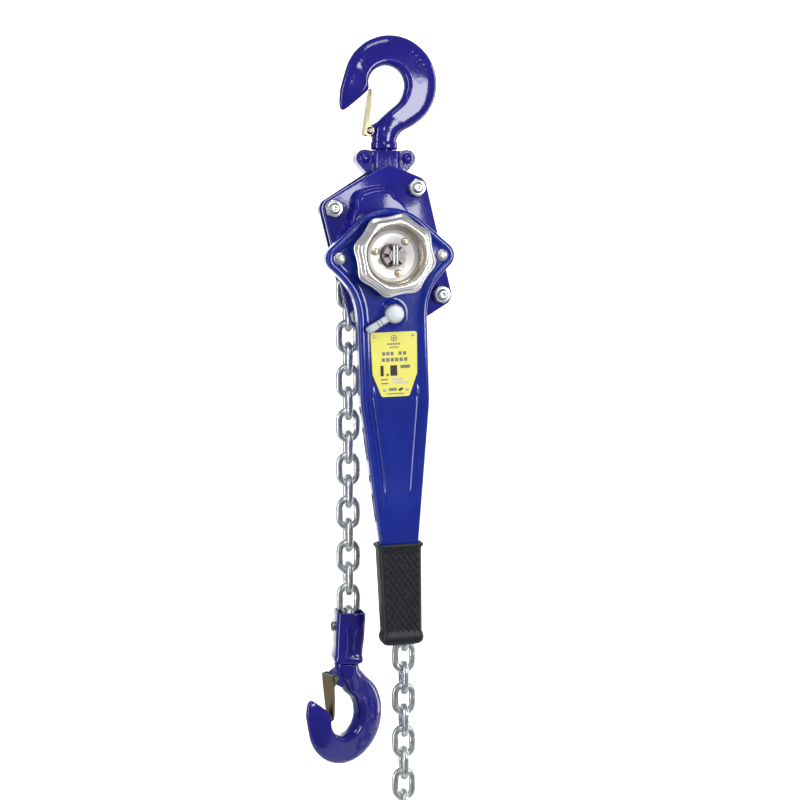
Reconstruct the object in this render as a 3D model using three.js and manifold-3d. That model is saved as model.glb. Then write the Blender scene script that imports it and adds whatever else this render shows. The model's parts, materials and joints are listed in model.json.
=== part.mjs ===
// A lever chain hoist of the 1.5 t class, hanging from its top hook.
// Millimetres. Every piece is drawn in the operator's front view: x to the right, y up and
// z towards the operator. The last group turns that view upright, so that +Z is up.
// The origin is the seat of the top hook, where the hoist hangs.

import * as THREE from 'three';
import { mergeVertices } from 'three/addons/utils/BufferGeometryUtils.js';
import Module from 'manifold-3d';

const wasm = await Module();
wasm.setup();

// ---------------------------------------------------------------- driving dimensions

const GAP = 0.3; // between pieces that touch

const CHAIN_WIRE = 3.7; // radius of the chain wire
const CHAIN_PITCH = 24;
const LINK_HALF_WIDTH = 9.7; // middle of the wire
const LINK_FUSED_END = 15.3; // middle of the crown, where two links of one run join
const LINK_FREE_END = 16.6; // middle of the crown, where a run may move against the next one
const SHEAVE_LINKS = 8; // links in one turn of the load sheave
const SHEAVE_RADIUS = CHAIN_PITCH / (2 * Math.sin(Math.PI / SHEAVE_LINKS));
const SHEAVE_PHASE = deg(6.2); // where the links meet, above the right end of the axis

const AXIS_X = -11.3; // main axis of shaft, sheave, lever and hand wheel
const AXIS_Y = -203;
const FRAME_TILT = deg(13.8); // the unloaded frame leans about its top pin
const LEVER_TILT = deg(1.9);
const SWIVEL_X = -2.2; // swivel axis of the top hook
const PIN_Y = -130; // suspension pin, on the swivel axis

const PLATE_INNER = 17; // inner faces of the side plates, from the middle plane
const PLATE_OUTER = 21;
const COVER_WALL = 2.5;
const COVER_FLANGE = PLATE_OUTER + GAP + COVER_WALL;
const COVER_FRONT = 44; // front of the brake cover's dome
const CASE_BACK = -56; // flat back of the gear case
const LEVER_BACK = 46.6;
const LEVER_SPLIT = 60.15;
const LEVER_FRONT = 74;
const LEVER_WALL = 2.5;
const HUB_RADIUS = 12; // hubs of the load sheave
const SHAFT_RADIUS = 6.5;

// Corners of the side plates, anticlockwise in the frame's own axes: [p, q, radius].
const STAY_TOP_LEFT = [-38.4, 60.5];
const STAY_TOP_RIGHT = [54.8, 61.1];
const STAY_LOW_RIGHT = [54.6, -56.3];
const STUD_LOW_LEFT = [-39.2, -55.7];
const TOP_PIN = intoFrame(SWIVEL_X, PIN_Y);
const PLATE_CORNERS = [
  [-38.4, 60.5, 11],
  [-36.8, -58, 12.7],
  [7.9, -68, 16],
  [54.6, -56.3, 12.8],
  [54.8, 61.1, 12.8],
  [...TOP_PIN, 23],
];

const GEAR_MODULE = 1.6;
const PINION_TEETH = 12;
const WHEEL_TEETH = 30;
const GEAR_DISTANCE = (GEAR_MODULE * (PINION_TEETH + WHEEL_TEETH)) / 2;
const CHANGE_TEETH = 12;
const RATCHET_TEETH = 16;
const PAWL_PIVOT_RADIUS = 42;
const PAWL_CENTRE = deg(62); // steep face that the first pawl rests against

const SELECTOR_DROP = 60.5; // selector axis, below the main axis
const EAR_REACH = 55; // ear screws of the lever, either side of the axis
const EAR_Y = -1.4;

const BOLT_X = -42.2; // bolt of the bottom yoke
const BOLT_Y = -608;
const BOTTOM_TILT = deg(-3.6);
const BOTTOM_TURN = deg(28); // the bottom hook has turned on its swivel
const HOOK_LINKS = 17; // links from the sheave down to the bottom yoke
const SLACK_LINKS = 26;

function deg(angle) {
  return THREE.MathUtils.degToRad(angle);
}

// A point of the front view, in the leaning frame's own axes.
function intoFrame(x, y) {
  const point = new THREE.Vector2(x - AXIS_X, y - AXIS_Y);
  return point.rotateAround(new THREE.Vector2(), -FRAME_TILT).toArray();
}

// ---------------------------------------------------------------- materials

function finish(color, roughness, metalness) {
  return new THREE.MeshStandardMaterial({ color, roughness, metalness, flatShading: true });
}

const bluePaint = finish(0x1c1c9c, 0.28, 0.1);
const leverPaint = finish(0x1b2a9e, 0.3, 0.1);
const zinc = finish(0xc9ccc8, 0.35, 0.9);
const chrome = finish(0xe6e6e2, 0.15, 1);
const chainSteel = finish(0xb3b8b6, 0.38, 0.9);
const castMetal = finish(0xbcc3c9, 0.5, 0.7);
const darkSteel = finish(0x5a5860, 0.4, 0.8);
const steel = finish(0x8d8f92, 0.4, 0.9);
const friction = finish(0x6b4f3a, 0.9, 0);
const goldZinc = finish(0xb3a06a, 0.4, 0.8);
const rubber = finish(0x24272a, 0.7, 0);
const yellowPlate = finish(0xf2ee62, 0.5, 0);

// ---------------------------------------------------------------- solids and booleans

function toSolid(geometry) {
  const plain = geometry.clone();
  plain.deleteAttribute('normal');
  plain.deleteAttribute('uv');
  const merged = mergeVertices(plain, 1e-4);
  return new wasm.Manifold(
    new wasm.Mesh({
      numProp: 3,
      vertProperties: merged.attributes.position.array,
      triVerts: new Uint32Array(merged.index.array),
    })
  );
}

function toGeometry(solid) {
  const mesh = solid.getMesh();
  const geometry = new THREE.BufferGeometry();
  geometry.setAttribute('position', new THREE.BufferAttribute(mesh.vertProperties, 3));
  geometry.setIndex(new THREE.BufferAttribute(mesh.triVerts, 1));
  return geometry;
}

function cut(geometry, ...tools) {
  return toGeometry(tools.reduce((solid, tool) => solid.subtract(toSolid(tool)), toSolid(geometry)));
}

function join(...pieces) {
  const [first, ...rest] = pieces.map(toSolid);
  return toGeometry(rest.reduce((solid, piece) => solid.add(piece), first));
}

function common(first, second) {
  return toGeometry(toSolid(first).intersect(toSolid(second)));
}

// ---------------------------------------------------------------- basic shapes

// A flat outline between two depths.
function plate(shape, z0, z1, curveSegments = 5) {
  const options = { depth: z1 - z0, bevelEnabled: false, curveSegments };
  return new THREE.ExtrudeGeometry(shape, options).translate(0, 0, z0);
}

// A round bar along z.
function rod(radius, z0, z1, x = 0, y = 0, sides = 18) {
  const bar = new THREE.CylinderGeometry(radius, radius, z1 - z0, sides);
  return bar.rotateX(Math.PI / 2).translate(x, y, (z0 + z1) / 2);
}

// A round bar along y.
function post(radius, y0, y1, x = 0, sides = 16) {
  return new THREE.CylinderGeometry(radius, radius, y1 - y0, sides).translate(x, (y0 + y1) / 2, 0);
}

// A round bar along x.
function crossBar(radius, x0, x1, y = 0, sides = 14) {
  const bar = new THREE.CylinderGeometry(radius, radius, x1 - x0, sides);
  return bar.rotateZ(Math.PI / 2).translate((x0 + x1) / 2, y, 0);
}

function block([x0, x1], [y0, y1], [z0, z1]) {
  const box = new THREE.BoxGeometry(x1 - x0, y1 - y0, z1 - z0);
  return box.translate((x0 + x1) / 2, (y0 + y1) / 2, (z0 + z1) / 2);
}

function ring(inner, outer, z0, z1, x = 0, y = 0, sides = 20) {
  return cut(rod(outer, z0, z1, x, y, sides), rod(inner, z0 - 1, z1 + 1, x, y, sides));
}

function polygon(points) {
  return new THREE.Shape(points.map(([x, y]) => new THREE.Vector2(x, y)));
}

// The tight outline around a ring of circles [x, y, radius], moved in by inset.
function wrapOutline(circles, inset = 0) {
  const shape = new THREE.Shape();
  const anticlockwise = THREE.ShapeUtils.area(circles.map(([x, y]) => new THREE.Vector2(x, y))) > 0;
  const loop = anticlockwise || circles.length < 3 ? circles : [...circles].reverse();
  const tangentAngle = (from, to) => {
    const [dx, dy] = [to[0] - from[0], to[1] - from[1]];
    return Math.atan2(dy, dx) - Math.PI / 2 - Math.asin((to[2] - from[2]) / Math.hypot(dx, dy));
  };
  loop.forEach((circle, i) => {
    const before = loop[(i + loop.length - 1) % loop.length];
    const after = loop[(i + 1) % loop.length];
    const [x, y, radius] = circle;
    const start = tangentAngle(before, circle);
    shape.absarc(x, y, radius - inset, start, tangentAngle(circle, after), false);
  });
  shape.closePath();
  return shape;
}

// A solid lofted through rings of equal point counts, closed by a fan at each end.
function loft(rings) {
  const count = rings[0].length;
  const points = rings.flat();
  const faces = [];
  for (let i = 0; i < rings.length - 1; i += 1) {
    for (let k = 0; k < count; k += 1) {
      const a = i * count + k;
      const b = i * count + ((k + 1) % count);
      faces.push(a, b, b + count, a, b + count, a + count);
    }
  }
  const last = (rings.length - 1) * count;
  for (let k = 1; k < count - 1; k += 1) {
    faces.push(0, k + 1, k);
    faces.push(last, last + k, last + k + 1);
  }
  const geometry = new THREE.BufferGeometry().setFromPoints(points);
  geometry.setIndex(faces);
  return geometry;
}

// A closed tube along a flat closed polygon in the x-y plane, mitred at each corner.
function tubeLoop(corners, radius, sides = 4) {
  const count = corners.length;
  const points = [];
  const faces = [];
  corners.forEach((corner, i) => {
    const before = corners[(i + count - 1) % count];
    const after = corners[(i + 1) % count];
    const into = corner.clone().sub(before).normalize();
    const out = after.clone().sub(corner).normalize();
    const mitre = into.clone().add(out).normalize();
    const normal = new THREE.Vector2(mitre.y, -mitre.x);
    const stretch = 1 / mitre.dot(into);
    for (let k = 0; k < sides; k += 1) {
      const angle = (2 * Math.PI * k) / sides;
      const reach = radius * Math.cos(angle) * stretch;
      const x = corner.x + normal.x * reach;
      const y = corner.y + normal.y * reach;
      points.push(new THREE.Vector3(x, y, radius * Math.sin(angle)));
      const here = i * sides;
      const next = ((i + 1) % count) * sides;
      const turn = (k + 1) % sides;
      faces.push(here + k, here + turn, next + turn, here + k, next + turn, next + k);
    }
  });
  const geometry = new THREE.BufferGeometry().setFromPoints(points);
  geometry.setIndex(faces.reverse());
  return geometry;
}

// A turned solid about z with radius and depth points in order, its radius waved by lobes from a
// first lobe on.
function lobedTurning(profile, lobes, firstLobe, segments) {
  const points = [];
  const faces = [];
  const count = profile.length;
  for (let i = 0; i < segments; i += 1) {
    const angle = (2 * Math.PI * i) / segments;
    profile.forEach(([radius, z, wave], k) => {
      const reach = radius + wave * Math.cos(lobes * (angle - firstLobe));
      points.push(new THREE.Vector3(reach * Math.cos(angle), reach * Math.sin(angle), z));
      const next = ((i + 1) % segments) * count;
      const turn = (k + 1) % count;
      faces.push(i * count + k, next + k, next + turn, i * count + k, next + turn, i * count + turn);
    });
  }
  const geometry = new THREE.BufferGeometry().setFromPoints(points);
  geometry.setIndex(faces);
  return geometry;
}

// ---------------------------------------------------------------- the scene graph

const hoist = new THREE.Group();
hoist.rotation.x = Math.PI / 2;

function addGroup(parent, x, y, turn = 0) {
  const group = new THREE.Group();
  group.position.set(x, y, 0);
  group.rotation.z = turn;
  parent.add(group);
  return group;
}

const frame = addGroup(hoist, AXIS_X, AXIS_Y, FRAME_TILT);
const shaft = addGroup(hoist, AXIS_X, AXIS_Y);
const lever = addGroup(hoist, AXIS_X, AXIS_Y, LEVER_TILT);
const suspension = addGroup(hoist, SWIVEL_X, 0);
const bottom = addGroup(hoist, BOLT_X, BOLT_Y, BOTTOM_TILT);

function addPiece(name, parent, geometry, material) {
  const shown = geometry.index ? geometry.toNonIndexed() : geometry;
  shown.computeVertexNormals();
  const mesh = new THREE.Mesh(shown, material);
  mesh.name = name;
  parent.add(mesh);
  return mesh;
}

// ---------------------------------------------------------------- hooks and latches

const HOOK = {
  bowlRadius: 20,
  bowlX: 0,
  bowlY: -20,
  backRadius: 51.2,
  backX: 5,
  backY: -18,
  shankRadius: 14.3,
  section: 10, // points around the forged section
};

// One ring of the forged section, from its outer point, inner point and half thickness.
function hookRing(outer, inner, half) {
  const ringPoints = [];
  const middle = outer.clone().add(inner).multiplyScalar(0.5);
  const across = outer.clone().sub(inner).multiplyScalar(0.5);
  for (let k = 0; k < HOOK.section; k += 1) {
    const angle = (2 * Math.PI * (k + 0.5)) / HOOK.section;
    const flatten = (value) => Math.sign(value) * Math.abs(value) ** 0.8;
    const reach = flatten(Math.cos(angle)) / flatten(Math.cos(Math.PI / HOOK.section));
    const x = middle.x + across.x * reach;
    const y = middle.y + across.y * reach;
    ringPoints.push(new THREE.Vector3(x, y, half * flatten(Math.sin(angle))));
  }
  return ringPoints;
}

// The forged hook in its own plane: the seat of the bowl is at the origin and the point is
// on the left. The shank stands shankX right of the seat and ends in a swivel flange.
function hookBody(shankX, collarY, flangeY) {
  const onCircle = (x, y, radius, angle) =>
    new THREE.Vector2(x + radius * Math.cos(deg(angle)), y + radius * Math.sin(deg(angle)));
  const outerAt = (angle) => onCircle(HOOK.backX, HOOK.backY, HOOK.backRadius, angle);
  const innerAt = (angle) => onCircle(HOOK.bowlX, HOOK.bowlY, HOOK.bowlRadius, angle);
  const at = (x, y) => new THREE.Vector2(x, y);
  const neck = shankX - HOOK.shankRadius;
  const heel = shankX + HOOK.shankRadius;
  const stations = [
    [at(-50.3, -44), at(-45.5, -46.8), 2.5],
    [at(-51.2, -38), at(-38.5, -42.5), 5.5],
    [at(-50.2, -25), at(-26.5, -31), 7.5],
    [outerAt(165), innerAt(190), 9],
    [outerAt(145), innerAt(160), 10],
    [outerAt(120), innerAt(128), 10],
    [outerAt(98), innerAt(98), 10],
    [outerAt(80), innerAt(82), 10],
    [outerAt(55), innerAt(52), 10],
    [outerAt(30), innerAt(24), 9.5],
    [outerAt(5), innerAt(0), 9],
    [outerAt(-20), innerAt(-22), 9],
    [outerAt(-42), at(13.8, -38), 9.5],
    [outerAt(-60), at(3, -47), 10.5],
    [at(heel + 6.5, -69), at(neck + 9, -56.5), 11.5],
    [at(heel + 0.8, -74.5), at(neck + 1.5, -66), 12.5],
    [at(heel, -80), at(neck, -79), 13.6],
    [at(heel, collarY), at(neck, collarY), 13.6],
  ];
  return join(
    loft(stations.map(([outer, inner, half]) => hookRing(outer, inner, half))),
    post(9, flangeY - 4, collarY + 3, shankX),
    post(12.4, flangeY - 4, flangeY + 3, shankX)
  );
}

const LATCH_PIN_X = -19;
const LUG = 4.2; // radius of the lug around the latch pin

// The hook with the lug that carries its latch.
function hookWithLug(shankX, collarY, flangeY, pivotY) {
  const lug = block([LATCH_PIN_X, -9], [pivotY - LUG, pivotY + LUG], [-6, 6]);
  const eye = rod(LUG, -6, 6, LATCH_PIN_X, pivotY, 16);
  const pinHole = rod(2.3, -20, 20, LATCH_PIN_X, pivotY, 12);
  return cut(join(hookBody(shankX, collarY, flangeY), lug, eye), pinHole);
}

// Sheet-metal latch: a web that closes the mouth and two cheeks on the pin.
function latch(pivotY) {
  const web = polygon([
    [-26.4, pivotY - 4],
    [-24.4, pivotY - 4],
    [-17.2, -24.5],
    [-19.2, -24.5],
  ]);
  const cheek = polygon([
    [-26, pivotY - 3.5],
    [-17, pivotY - 3.5],
    [-15.4, pivotY],
    [-17, pivotY + 3.5],
    [-22.6, pivotY + 18],
  ]);
  const cheeks = [plate(cheek, 6.4, 8.4), plate(cheek, -8.4, -6.4)];
  return cut(join(plate(web, -8.4, 8.4), ...cheeks), rod(2.3, -20, 20, LATCH_PIN_X, pivotY, 12));
}

function latchPin(pivotY) {
  return rod(1.9, -9.6, 9.6, LATCH_PIN_X, pivotY, 12);
}

const TOP_COLLAR_Y = -88;
const TOP_FLANGE_Y = -100;
const TOP_LATCH_Y = -69.5;
const SEAT_GROUP_X = -SWIVEL_X;

function addTopHook() {
  const seat = addGroup(suspension, SEAT_GROUP_X, 0);
  addPiece('top_hook', seat, hookWithLug(SWIVEL_X, TOP_COLLAR_Y, TOP_FLANGE_Y, TOP_LATCH_Y), bluePaint);
  addPiece('top_latch', seat, latch(TOP_LATCH_Y), goldZinc);
  addPiece('top_latch_pin', seat, latchPin(TOP_LATCH_Y), darkSteel);
}

// ---------------------------------------------------------------- top yoke

const YOKE = { top: -90.6, bossHalf: 17.2, bossFront: 15.9, earX: 23.4, earY: -98.8, earRadius: 9.2 };

function yokeOutline() {
  const shape = new THREE.Shape();
  shape.moveTo(YOKE.bossHalf, YOKE.top);
  shape.lineTo(-YOKE.bossHalf, YOKE.top);
  shape.absarc(-YOKE.earX, YOKE.earY, YOKE.earRadius, deg(75), deg(215), false);
  shape.lineTo(-20.2, -116);
  shape.absarc(0, PIN_Y - 1, 15.5, deg(165), deg(375), false);
  shape.lineTo(20.2, -116);
  shape.absarc(YOKE.earX, YOKE.earY, YOKE.earRadius, deg(-35), deg(105), false);
  return shape;
}

// The whole yoke as one block with its cavity; each half is cut from it.
function yokeBlock() {
  const boss = polygon([
    [YOKE.bossHalf, YOKE.top],
    [-YOKE.bossHalf, YOKE.top],
    [-YOKE.bossHalf, -117],
    [-12, -124],
    [12, -124],
    [YOKE.bossHalf, -117],
  ]);
  const solid = join(
    plate(yokeOutline(), -9.5, 9.5, 5),
    plate(boss, -YOKE.bossFront, YOKE.bossFront)
  );
  const rivetHoles = [-1, 1].map((side) => rod(4.2, -20, 20, side * YOKE.earX, YOKE.earY, 10));
  return cut(
    solid,
    post(9.5, -110, -80),
    post(13, TOP_FLANGE_Y - 4.6, TOP_FLANGE_Y + 3.6),
    rod(7.3, -20, 20, 0, PIN_Y),
    ...rivetHoles
  );
}

function addTopYoke() {
  const whole = yokeBlock();
  const halfSplit = GAP / 2;
  const front = common(whole, block([-60, 60], [-180, -60], [halfSplit, 40]));
  const rear = common(whole, block([-60, 60], [-180, -60], [-40, -halfSplit]));
  addPiece('top_yoke_front', suspension, front, bluePaint);
  addPiece('top_yoke_rear', suspension, rear, bluePaint);
  const rivet = new THREE.LatheGeometry(
    [
      [0, -12.4],
      [4, -12],
      [6, -9.8],
      [3.9, -9.8],
      [3.9, 9.8],
      [6, 9.8],
      [4, 12],
      [0, 12.4],
    ].map(([x, y]) => new THREE.Vector2(x, y)),
    10
  ).rotateX(Math.PI / 2);
  const rivetAt = (x) => rivet.clone().translate(x, YOKE.earY, 0);
  addPiece('top_yoke_rivet_left', suspension, rivetAt(-YOKE.earX), bluePaint);
  addPiece('top_yoke_rivet_right', suspension, rivetAt(YOKE.earX), bluePaint);
  addPiece('top_pin', suspension, rod(7, -20.8, 20.8, 0, PIN_Y), steel);
}

// ---------------------------------------------------------------- frame plates and covers

const PAWL_COUNT = 2;
const pawlFace = (i) => PAWL_CENTRE + (2 * Math.PI * i) / PAWL_COUNT;
const pawlPivotAngle = (i) => pawlFace(i) - deg(27);

function pawlPivot(i) {
  const angle = pawlPivotAngle(i);
  return [PAWL_PIVOT_RADIUS * Math.cos(angle), PAWL_PIVOT_RADIUS * Math.sin(angle)];
}

function stayHoles(z0, z1, radius = 5.3) {
  const places = [STAY_TOP_LEFT, STAY_TOP_RIGHT, STAY_LOW_RIGHT, STUD_LOW_LEFT];
  return places.map(([x, y]) => rod(radius, z0, z1, x, y, 12));
}

function sidePlate(z0, z1) {
  return cut(
    plate(wrapOutline(PLATE_CORNERS), z0, z1),
    rod(17.3, z0 - 1, z1 + 1),
    rod(7.3, z0 - 1, z1 + 1, ...TOP_PIN),
    ...stayHoles(z0 - 1, z1 + 1)
  );
}

function addSidePlates() {
  const posts = [];
  for (let i = 0; i < PAWL_COUNT; i += 1) {
    posts.push(rod(2.6, PLATE_OUTER - 1, 37.3, ...pawlPivot(i), 12));
  }
  const front = join(sidePlate(PLATE_INNER, PLATE_OUTER), ...posts);
  addPiece('front_side_plate', frame, front, bluePaint);
  const gearHoles = [-1, 1].map((side) => rod(5.4, -30, -10, 0, side * GEAR_DISTANCE, 12));
  const rear = cut(sidePlate(-PLATE_OUTER, -PLATE_INNER), ...gearHoles);
  addPiece('rear_side_plate', frame, rear, bluePaint);
  const bearing = ring(HUB_RADIUS + GAP, 17, PLATE_INNER - 0.2, PLATE_OUTER);
  addPiece('sheave_bearing_front', frame, bearing, steel);
  addPiece('sheave_bearing_rear', frame, bearing.clone().rotateX(Math.PI), steel);
}

// The dome: round over the brake, with a straight-sided throat towards the top pin.
const COVER_THROAT = [
  [14.5, 57.5, 14],
  [-4.5, 58, 14],
  [-4.5, 10, 14],
  [14.5, 10, 14],
];

function coverDome(inset, z0, z1) {
  return join(
    rod(50 - inset, z0, z1, 0, 0, 40),
    plate(wrapOutline(COVER_THROAT, inset), z0, z1)
  );
}

function brakeCover() {
  const flangeBack = PLATE_OUTER + GAP;
  const outside = join(
    plate(wrapOutline(PLATE_CORNERS, 0.5), flangeBack, COVER_FLANGE),
    coverDome(0, flangeBack, COVER_FRONT - 4),
    coverDome(4, COVER_FRONT - 4.1, COVER_FRONT)
  );
  return cut(
    outside,
    coverDome(COVER_WALL, 10, COVER_FRONT - 4 - COVER_WALL),
    coverDome(COVER_WALL + 4, 10, COVER_FRONT - COVER_WALL),
    rod(31.5, 30, 60, 0, 0, 32),
    ...stayHoles(10, 30)
  );
}

function gearCase() {
  const pan = [
    [0, GEAR_DISTANCE, 32],
    [0, -GEAR_DISTANCE, 32],
  ];
  const flangeFront = -PLATE_OUTER - GAP;
  const outside = join(
    plate(wrapOutline(PLATE_CORNERS, 0.5), -COVER_FLANGE, flangeFront),
    plate(wrapOutline(pan), CASE_BACK + 4, flangeFront, 6),
    plate(wrapOutline(pan, 4), CASE_BACK, CASE_BACK + 4.1, 6)
  );
  return cut(
    outside,
    plate(wrapOutline(pan, COVER_WALL), CASE_BACK + 4 + COVER_WALL, -10, 6),
    plate(wrapOutline(pan, COVER_WALL + 4), CASE_BACK + COVER_WALL, -10, 6),
    ...stayHoles(-30, -10)
  );
}

// Keeps the two chain runs apart under the sheave; drawn in the upright axes of the shaft.
function chainGuide() {
  const foot = polygon([
    [-14, -26],
    [-11, -62],
    [11, -62],
    [14, -26],
  ]);
  const depth = PLATE_INNER - GAP;
  return cut(plate(foot, -depth, depth), rod(37.4, -30, 30, 0, 0, 40));
}

function hexagon(acrossFlats, turn = 0) {
  const corner = acrossFlats / Math.sqrt(3);
  const points = [];
  for (let k = 0; k < 6; k += 1) {
    const angle = turn + (Math.PI * k) / 3;
    points.push([corner * Math.cos(angle), corner * Math.sin(angle)]);
  }
  return polygon(points);
}

function hexNut(acrossFlats, bore, z0, z1) {
  return cut(plate(hexagon(acrossFlats), z0, z1), rod(bore, z0 - 1, z1 + 1, 0, 0, 12));
}

const NUT_FRONT = COVER_FLANGE + GAP + 9;
const BOLT_RADIUS = 5;

const NUT_FLATS = 17;
const HEAD_FLATS = 13;

function addFasteners() {
  const headBack = -COVER_FLANGE - GAP;
  const head = plate(hexagon(HEAD_FLATS), headBack - 7, headBack);
  const stay = join(head, rod(BOLT_RADIUS, headBack - 1, NUT_FRONT + 3, 0, 0, 12));
  [STAY_TOP_LEFT, STAY_TOP_RIGHT, STAY_LOW_RIGHT].forEach(([x, y], i) => {
    addPiece(`stay_bolt_${i + 1}`, frame, stay.clone().translate(x, y, 0), zinc);
  });
  const [x, y] = STUD_LOW_LEFT;
  const stud = rod(BOLT_RADIUS, PLATE_INNER, NUT_FRONT + 3, x, y, 12);
  addPiece('cover_stud', frame, stud, zinc);
  const screw = join(head, rod(BOLT_RADIUS, headBack - 1, -PLATE_INNER, 0, 0, 12));
  addPiece('gear_case_screw', frame, screw.translate(x, y, 0), zinc);
  const nut = hexNut(NUT_FLATS, BOLT_RADIUS + GAP, COVER_FLANGE + GAP, NUT_FRONT);
  [STAY_TOP_LEFT, STAY_TOP_RIGHT, STAY_LOW_RIGHT, STUD_LOW_LEFT].forEach(([nx, ny], i) => {
    addPiece(`stay_nut_${i + 1}`, frame, nut.clone().translate(nx, ny, 0), zinc);
  });
}

function addFrame() {
  addSidePlates();
  addPiece('brake_cover', frame, brakeCover(), bluePaint);
  addPiece('gear_case', frame, gearCase(), bluePaint);
  addPiece('chain_guide', shaft, chainGuide(), steel);
  addFasteners();
}

// ---------------------------------------------------------------- gears, sheave and brake

// Trapezoid teeth; half widths are fractions of one tooth step.
function gearOutline(teeth, root, tip, rootHalf, tipHalf, phase = 0) {
  const step = (2 * Math.PI) / teeth;
  const points = [];
  for (let i = 0; i < teeth; i += 1) {
    const middle = phase + step * i;
    const corners = [
      [root, -rootHalf],
      [tip, -tipHalf],
      [tip, tipHalf],
      [root, rootHalf],
    ];
    corners.forEach(([radius, part]) => {
      const angle = middle + part * step;
      points.push([radius * Math.cos(angle), radius * Math.sin(angle)]);
    });
  }
  return polygon(points);
}

function spurGear(teeth, phase = 0) {
  const pitch = (teeth * GEAR_MODULE) / 2;
  const tip = pitch + 0.8 * GEAR_MODULE;
  return gearOutline(teeth, pitch - 1.2 * GEAR_MODULE, tip, 0.27, 0.12, phase);
}

const LOAD_GEAR_DEPTH = [-32.5, -24.5];
const STAGE_WHEEL_DEPTH = [-45, -38.5];

// A stage gear: the large wheel meets the pinion and its small pinion meets the load gear.
function stageGear(side) {
  const towards = side > 0 ? -Math.PI / 2 : Math.PI / 2;
  const wheel = plate(spurGear(WHEEL_TEETH, towards + Math.PI / WHEEL_TEETH), ...STAGE_WHEEL_DEPTH);
  const small = plate(spurGear(PINION_TEETH, towards + Math.PI / PINION_TEETH), -39, -24.3);
  const journal = rod(5, -52.8, -PLATE_INNER, 0, 0, 12);
  return join(wheel, small, journal).translate(0, side * GEAR_DISTANCE, 0);
}

function addGears() {
  const pinionPhase = Math.PI / 2;
  const pinion = plate(spurGear(PINION_TEETH, pinionPhase), -45.5, -38);
  const bar = rod(SHAFT_RADIUS, -52, 92);
  const pinHole = post(2, -10, 10, 0, 10).rotateZ(-FRAME_TILT).translate(0, 0, PIN_DEPTH);
  addPiece('pinion_shaft', frame, cut(join(bar, pinion), pinHole), steel);
  const loadWheel = plate(spurGear(WHEEL_TEETH, Math.PI / 2), ...LOAD_GEAR_DEPTH);
  const loadGear = cut(loadWheel, rod(HUB_RADIUS + GAP, -40, -20));
  addPiece('load_gear', frame, loadGear, steel);
  addPiece('gear_a', frame, stageGear(1), steel);
  addPiece('gear_b', frame, stageGear(-1), steel);
}

function loadSheave() {
  const flange = 36;
  const teeth = 30;
  const pocketFloor = 22;
  const pocketDepth = 13.9;
  const groove = ring(14.5, flange + 5, -4.7, 4.7, 0, 0, 16);
  const pockets = [];
  for (let i = 0; i < SHEAVE_LINKS / 2; i += 1) {
    const angle = SHEAVE_PHASE + Math.PI / SHEAVE_LINKS + (i * Math.PI) / 2;
    pockets.push(block([pocketFloor, 60], [-20.5, 20.5], [-pocketDepth, pocketDepth]).rotateZ(angle));
  }
  const body = join(
    rod(teeth, -15, 15),
    rod(flange, pocketDepth, 15.5, 0, 0, 24),
    rod(flange, -15.5, -pocketDepth, 0, 0, 24),
    rod(HUB_RADIUS, -35, 22.6)
  );
  return cut(body, groove, rod(SHAFT_RADIUS + 1, -60, 60), ...pockets);
}

function addBrake() {
  const bore = rod(SHAFT_RADIUS + 0.4, 0, 120);
  const hub = join(rod(29, 24.5, 28.5), rod(11, 28, 44));
  addPiece('disc_hub', frame, cut(hub, bore), steel);
  addPiece('friction_disc_rear', frame, ring(11.5, 28, 28.8, 31.6), friction);
  const ratchet = cut(plate(ratchetOutline(), 31.9, 37.3), rod(11.5, 20, 50));
  addPiece('ratchet_disc', frame, ratchet, steel);
  addPiece('friction_disc_front', frame, ring(11.5, 28, 37.6, 40.4), friction);
  for (let i = 0; i < PAWL_COUNT; i += 1) {
    addPiece(`pawl_${i + 1}`, frame, ratchetPawl(i), darkSteel);
  }
}

const RATCHET = { root: 29, tip: 33.5 };

// Saw teeth whose steep faces stop the disc from turning clockwise.
function ratchetOutline() {
  const step = (2 * Math.PI) / RATCHET_TEETH;
  const points = [];
  for (let i = 0; i < RATCHET_TEETH; i += 1) {
    const face = PAWL_CENTRE + step * i;
    const along = (radius, angle) => [radius * Math.cos(angle), radius * Math.sin(angle)];
    points.push(along(RATCHET.root, face));
    points.push(along(RATCHET.tip, face + 0.02));
    points.push(along(RATCHET.tip, face + 0.12 * step));
    points.push(along(RATCHET.root, face + 0.72 * step));
  }
  return polygon(points);
}

function ratchetPawl(i) {
  const [x, y] = pawlPivot(i);
  const tipAngle = pawlFace(i) - deg(4);
  const tipRadius = RATCHET.root + 2.8;
  const tip = [tipRadius * Math.cos(tipAngle), tipRadius * Math.sin(tipAngle), 1.5];
  const outline = wrapOutline([[x, y, 4.2], tip]);
  return cut(plate(outline, 32, 37.2, 4), rod(2.9, 20, 50, x, y, 12));
}

const CHANGE_GEAR = { root: 25, tip: 30 };

function changeGear() {
  const step = (2 * Math.PI) / CHANGE_TEETH;
  const phase = -Math.PI / 2 + LEVER_TILT - FRAME_TILT;
  const rim = gearOutline(CHANGE_TEETH, CHANGE_GEAR.root, CHANGE_GEAR.tip, 0.24, 0.16, phase);
  const body = join(
    rod(28, 40.7, 45),
    rod(20, 44, 49),
    plate(rim, 48.6, 59),
    rod(14, 58, 75.4)
  );
  return cut(body, rod(SHAFT_RADIUS + 0.4, 0, 120), rod(11.4, 30, 44.3));
}

// ---------------------------------------------------------------- castle nut and hand wheel

const PIN_DEPTH = 87.5; // split pin, along the shaft
const WHEEL_HUB = 13.2;
const WHEEL_LOBES = 8;
const WHEEL_FIRST_LOBE = deg(33);

function castleNut() {
  const slots = [0, 1, 2].map((i) =>
    block([-2.4, 2.4], [-15, 15], [84, 95]).rotateZ((i * Math.PI) / 3)
  );
  return cut(rod(12.3, 75.8, 91), rod(SHAFT_RADIUS + 0.4, 60, 120), ...slots);
}

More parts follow.
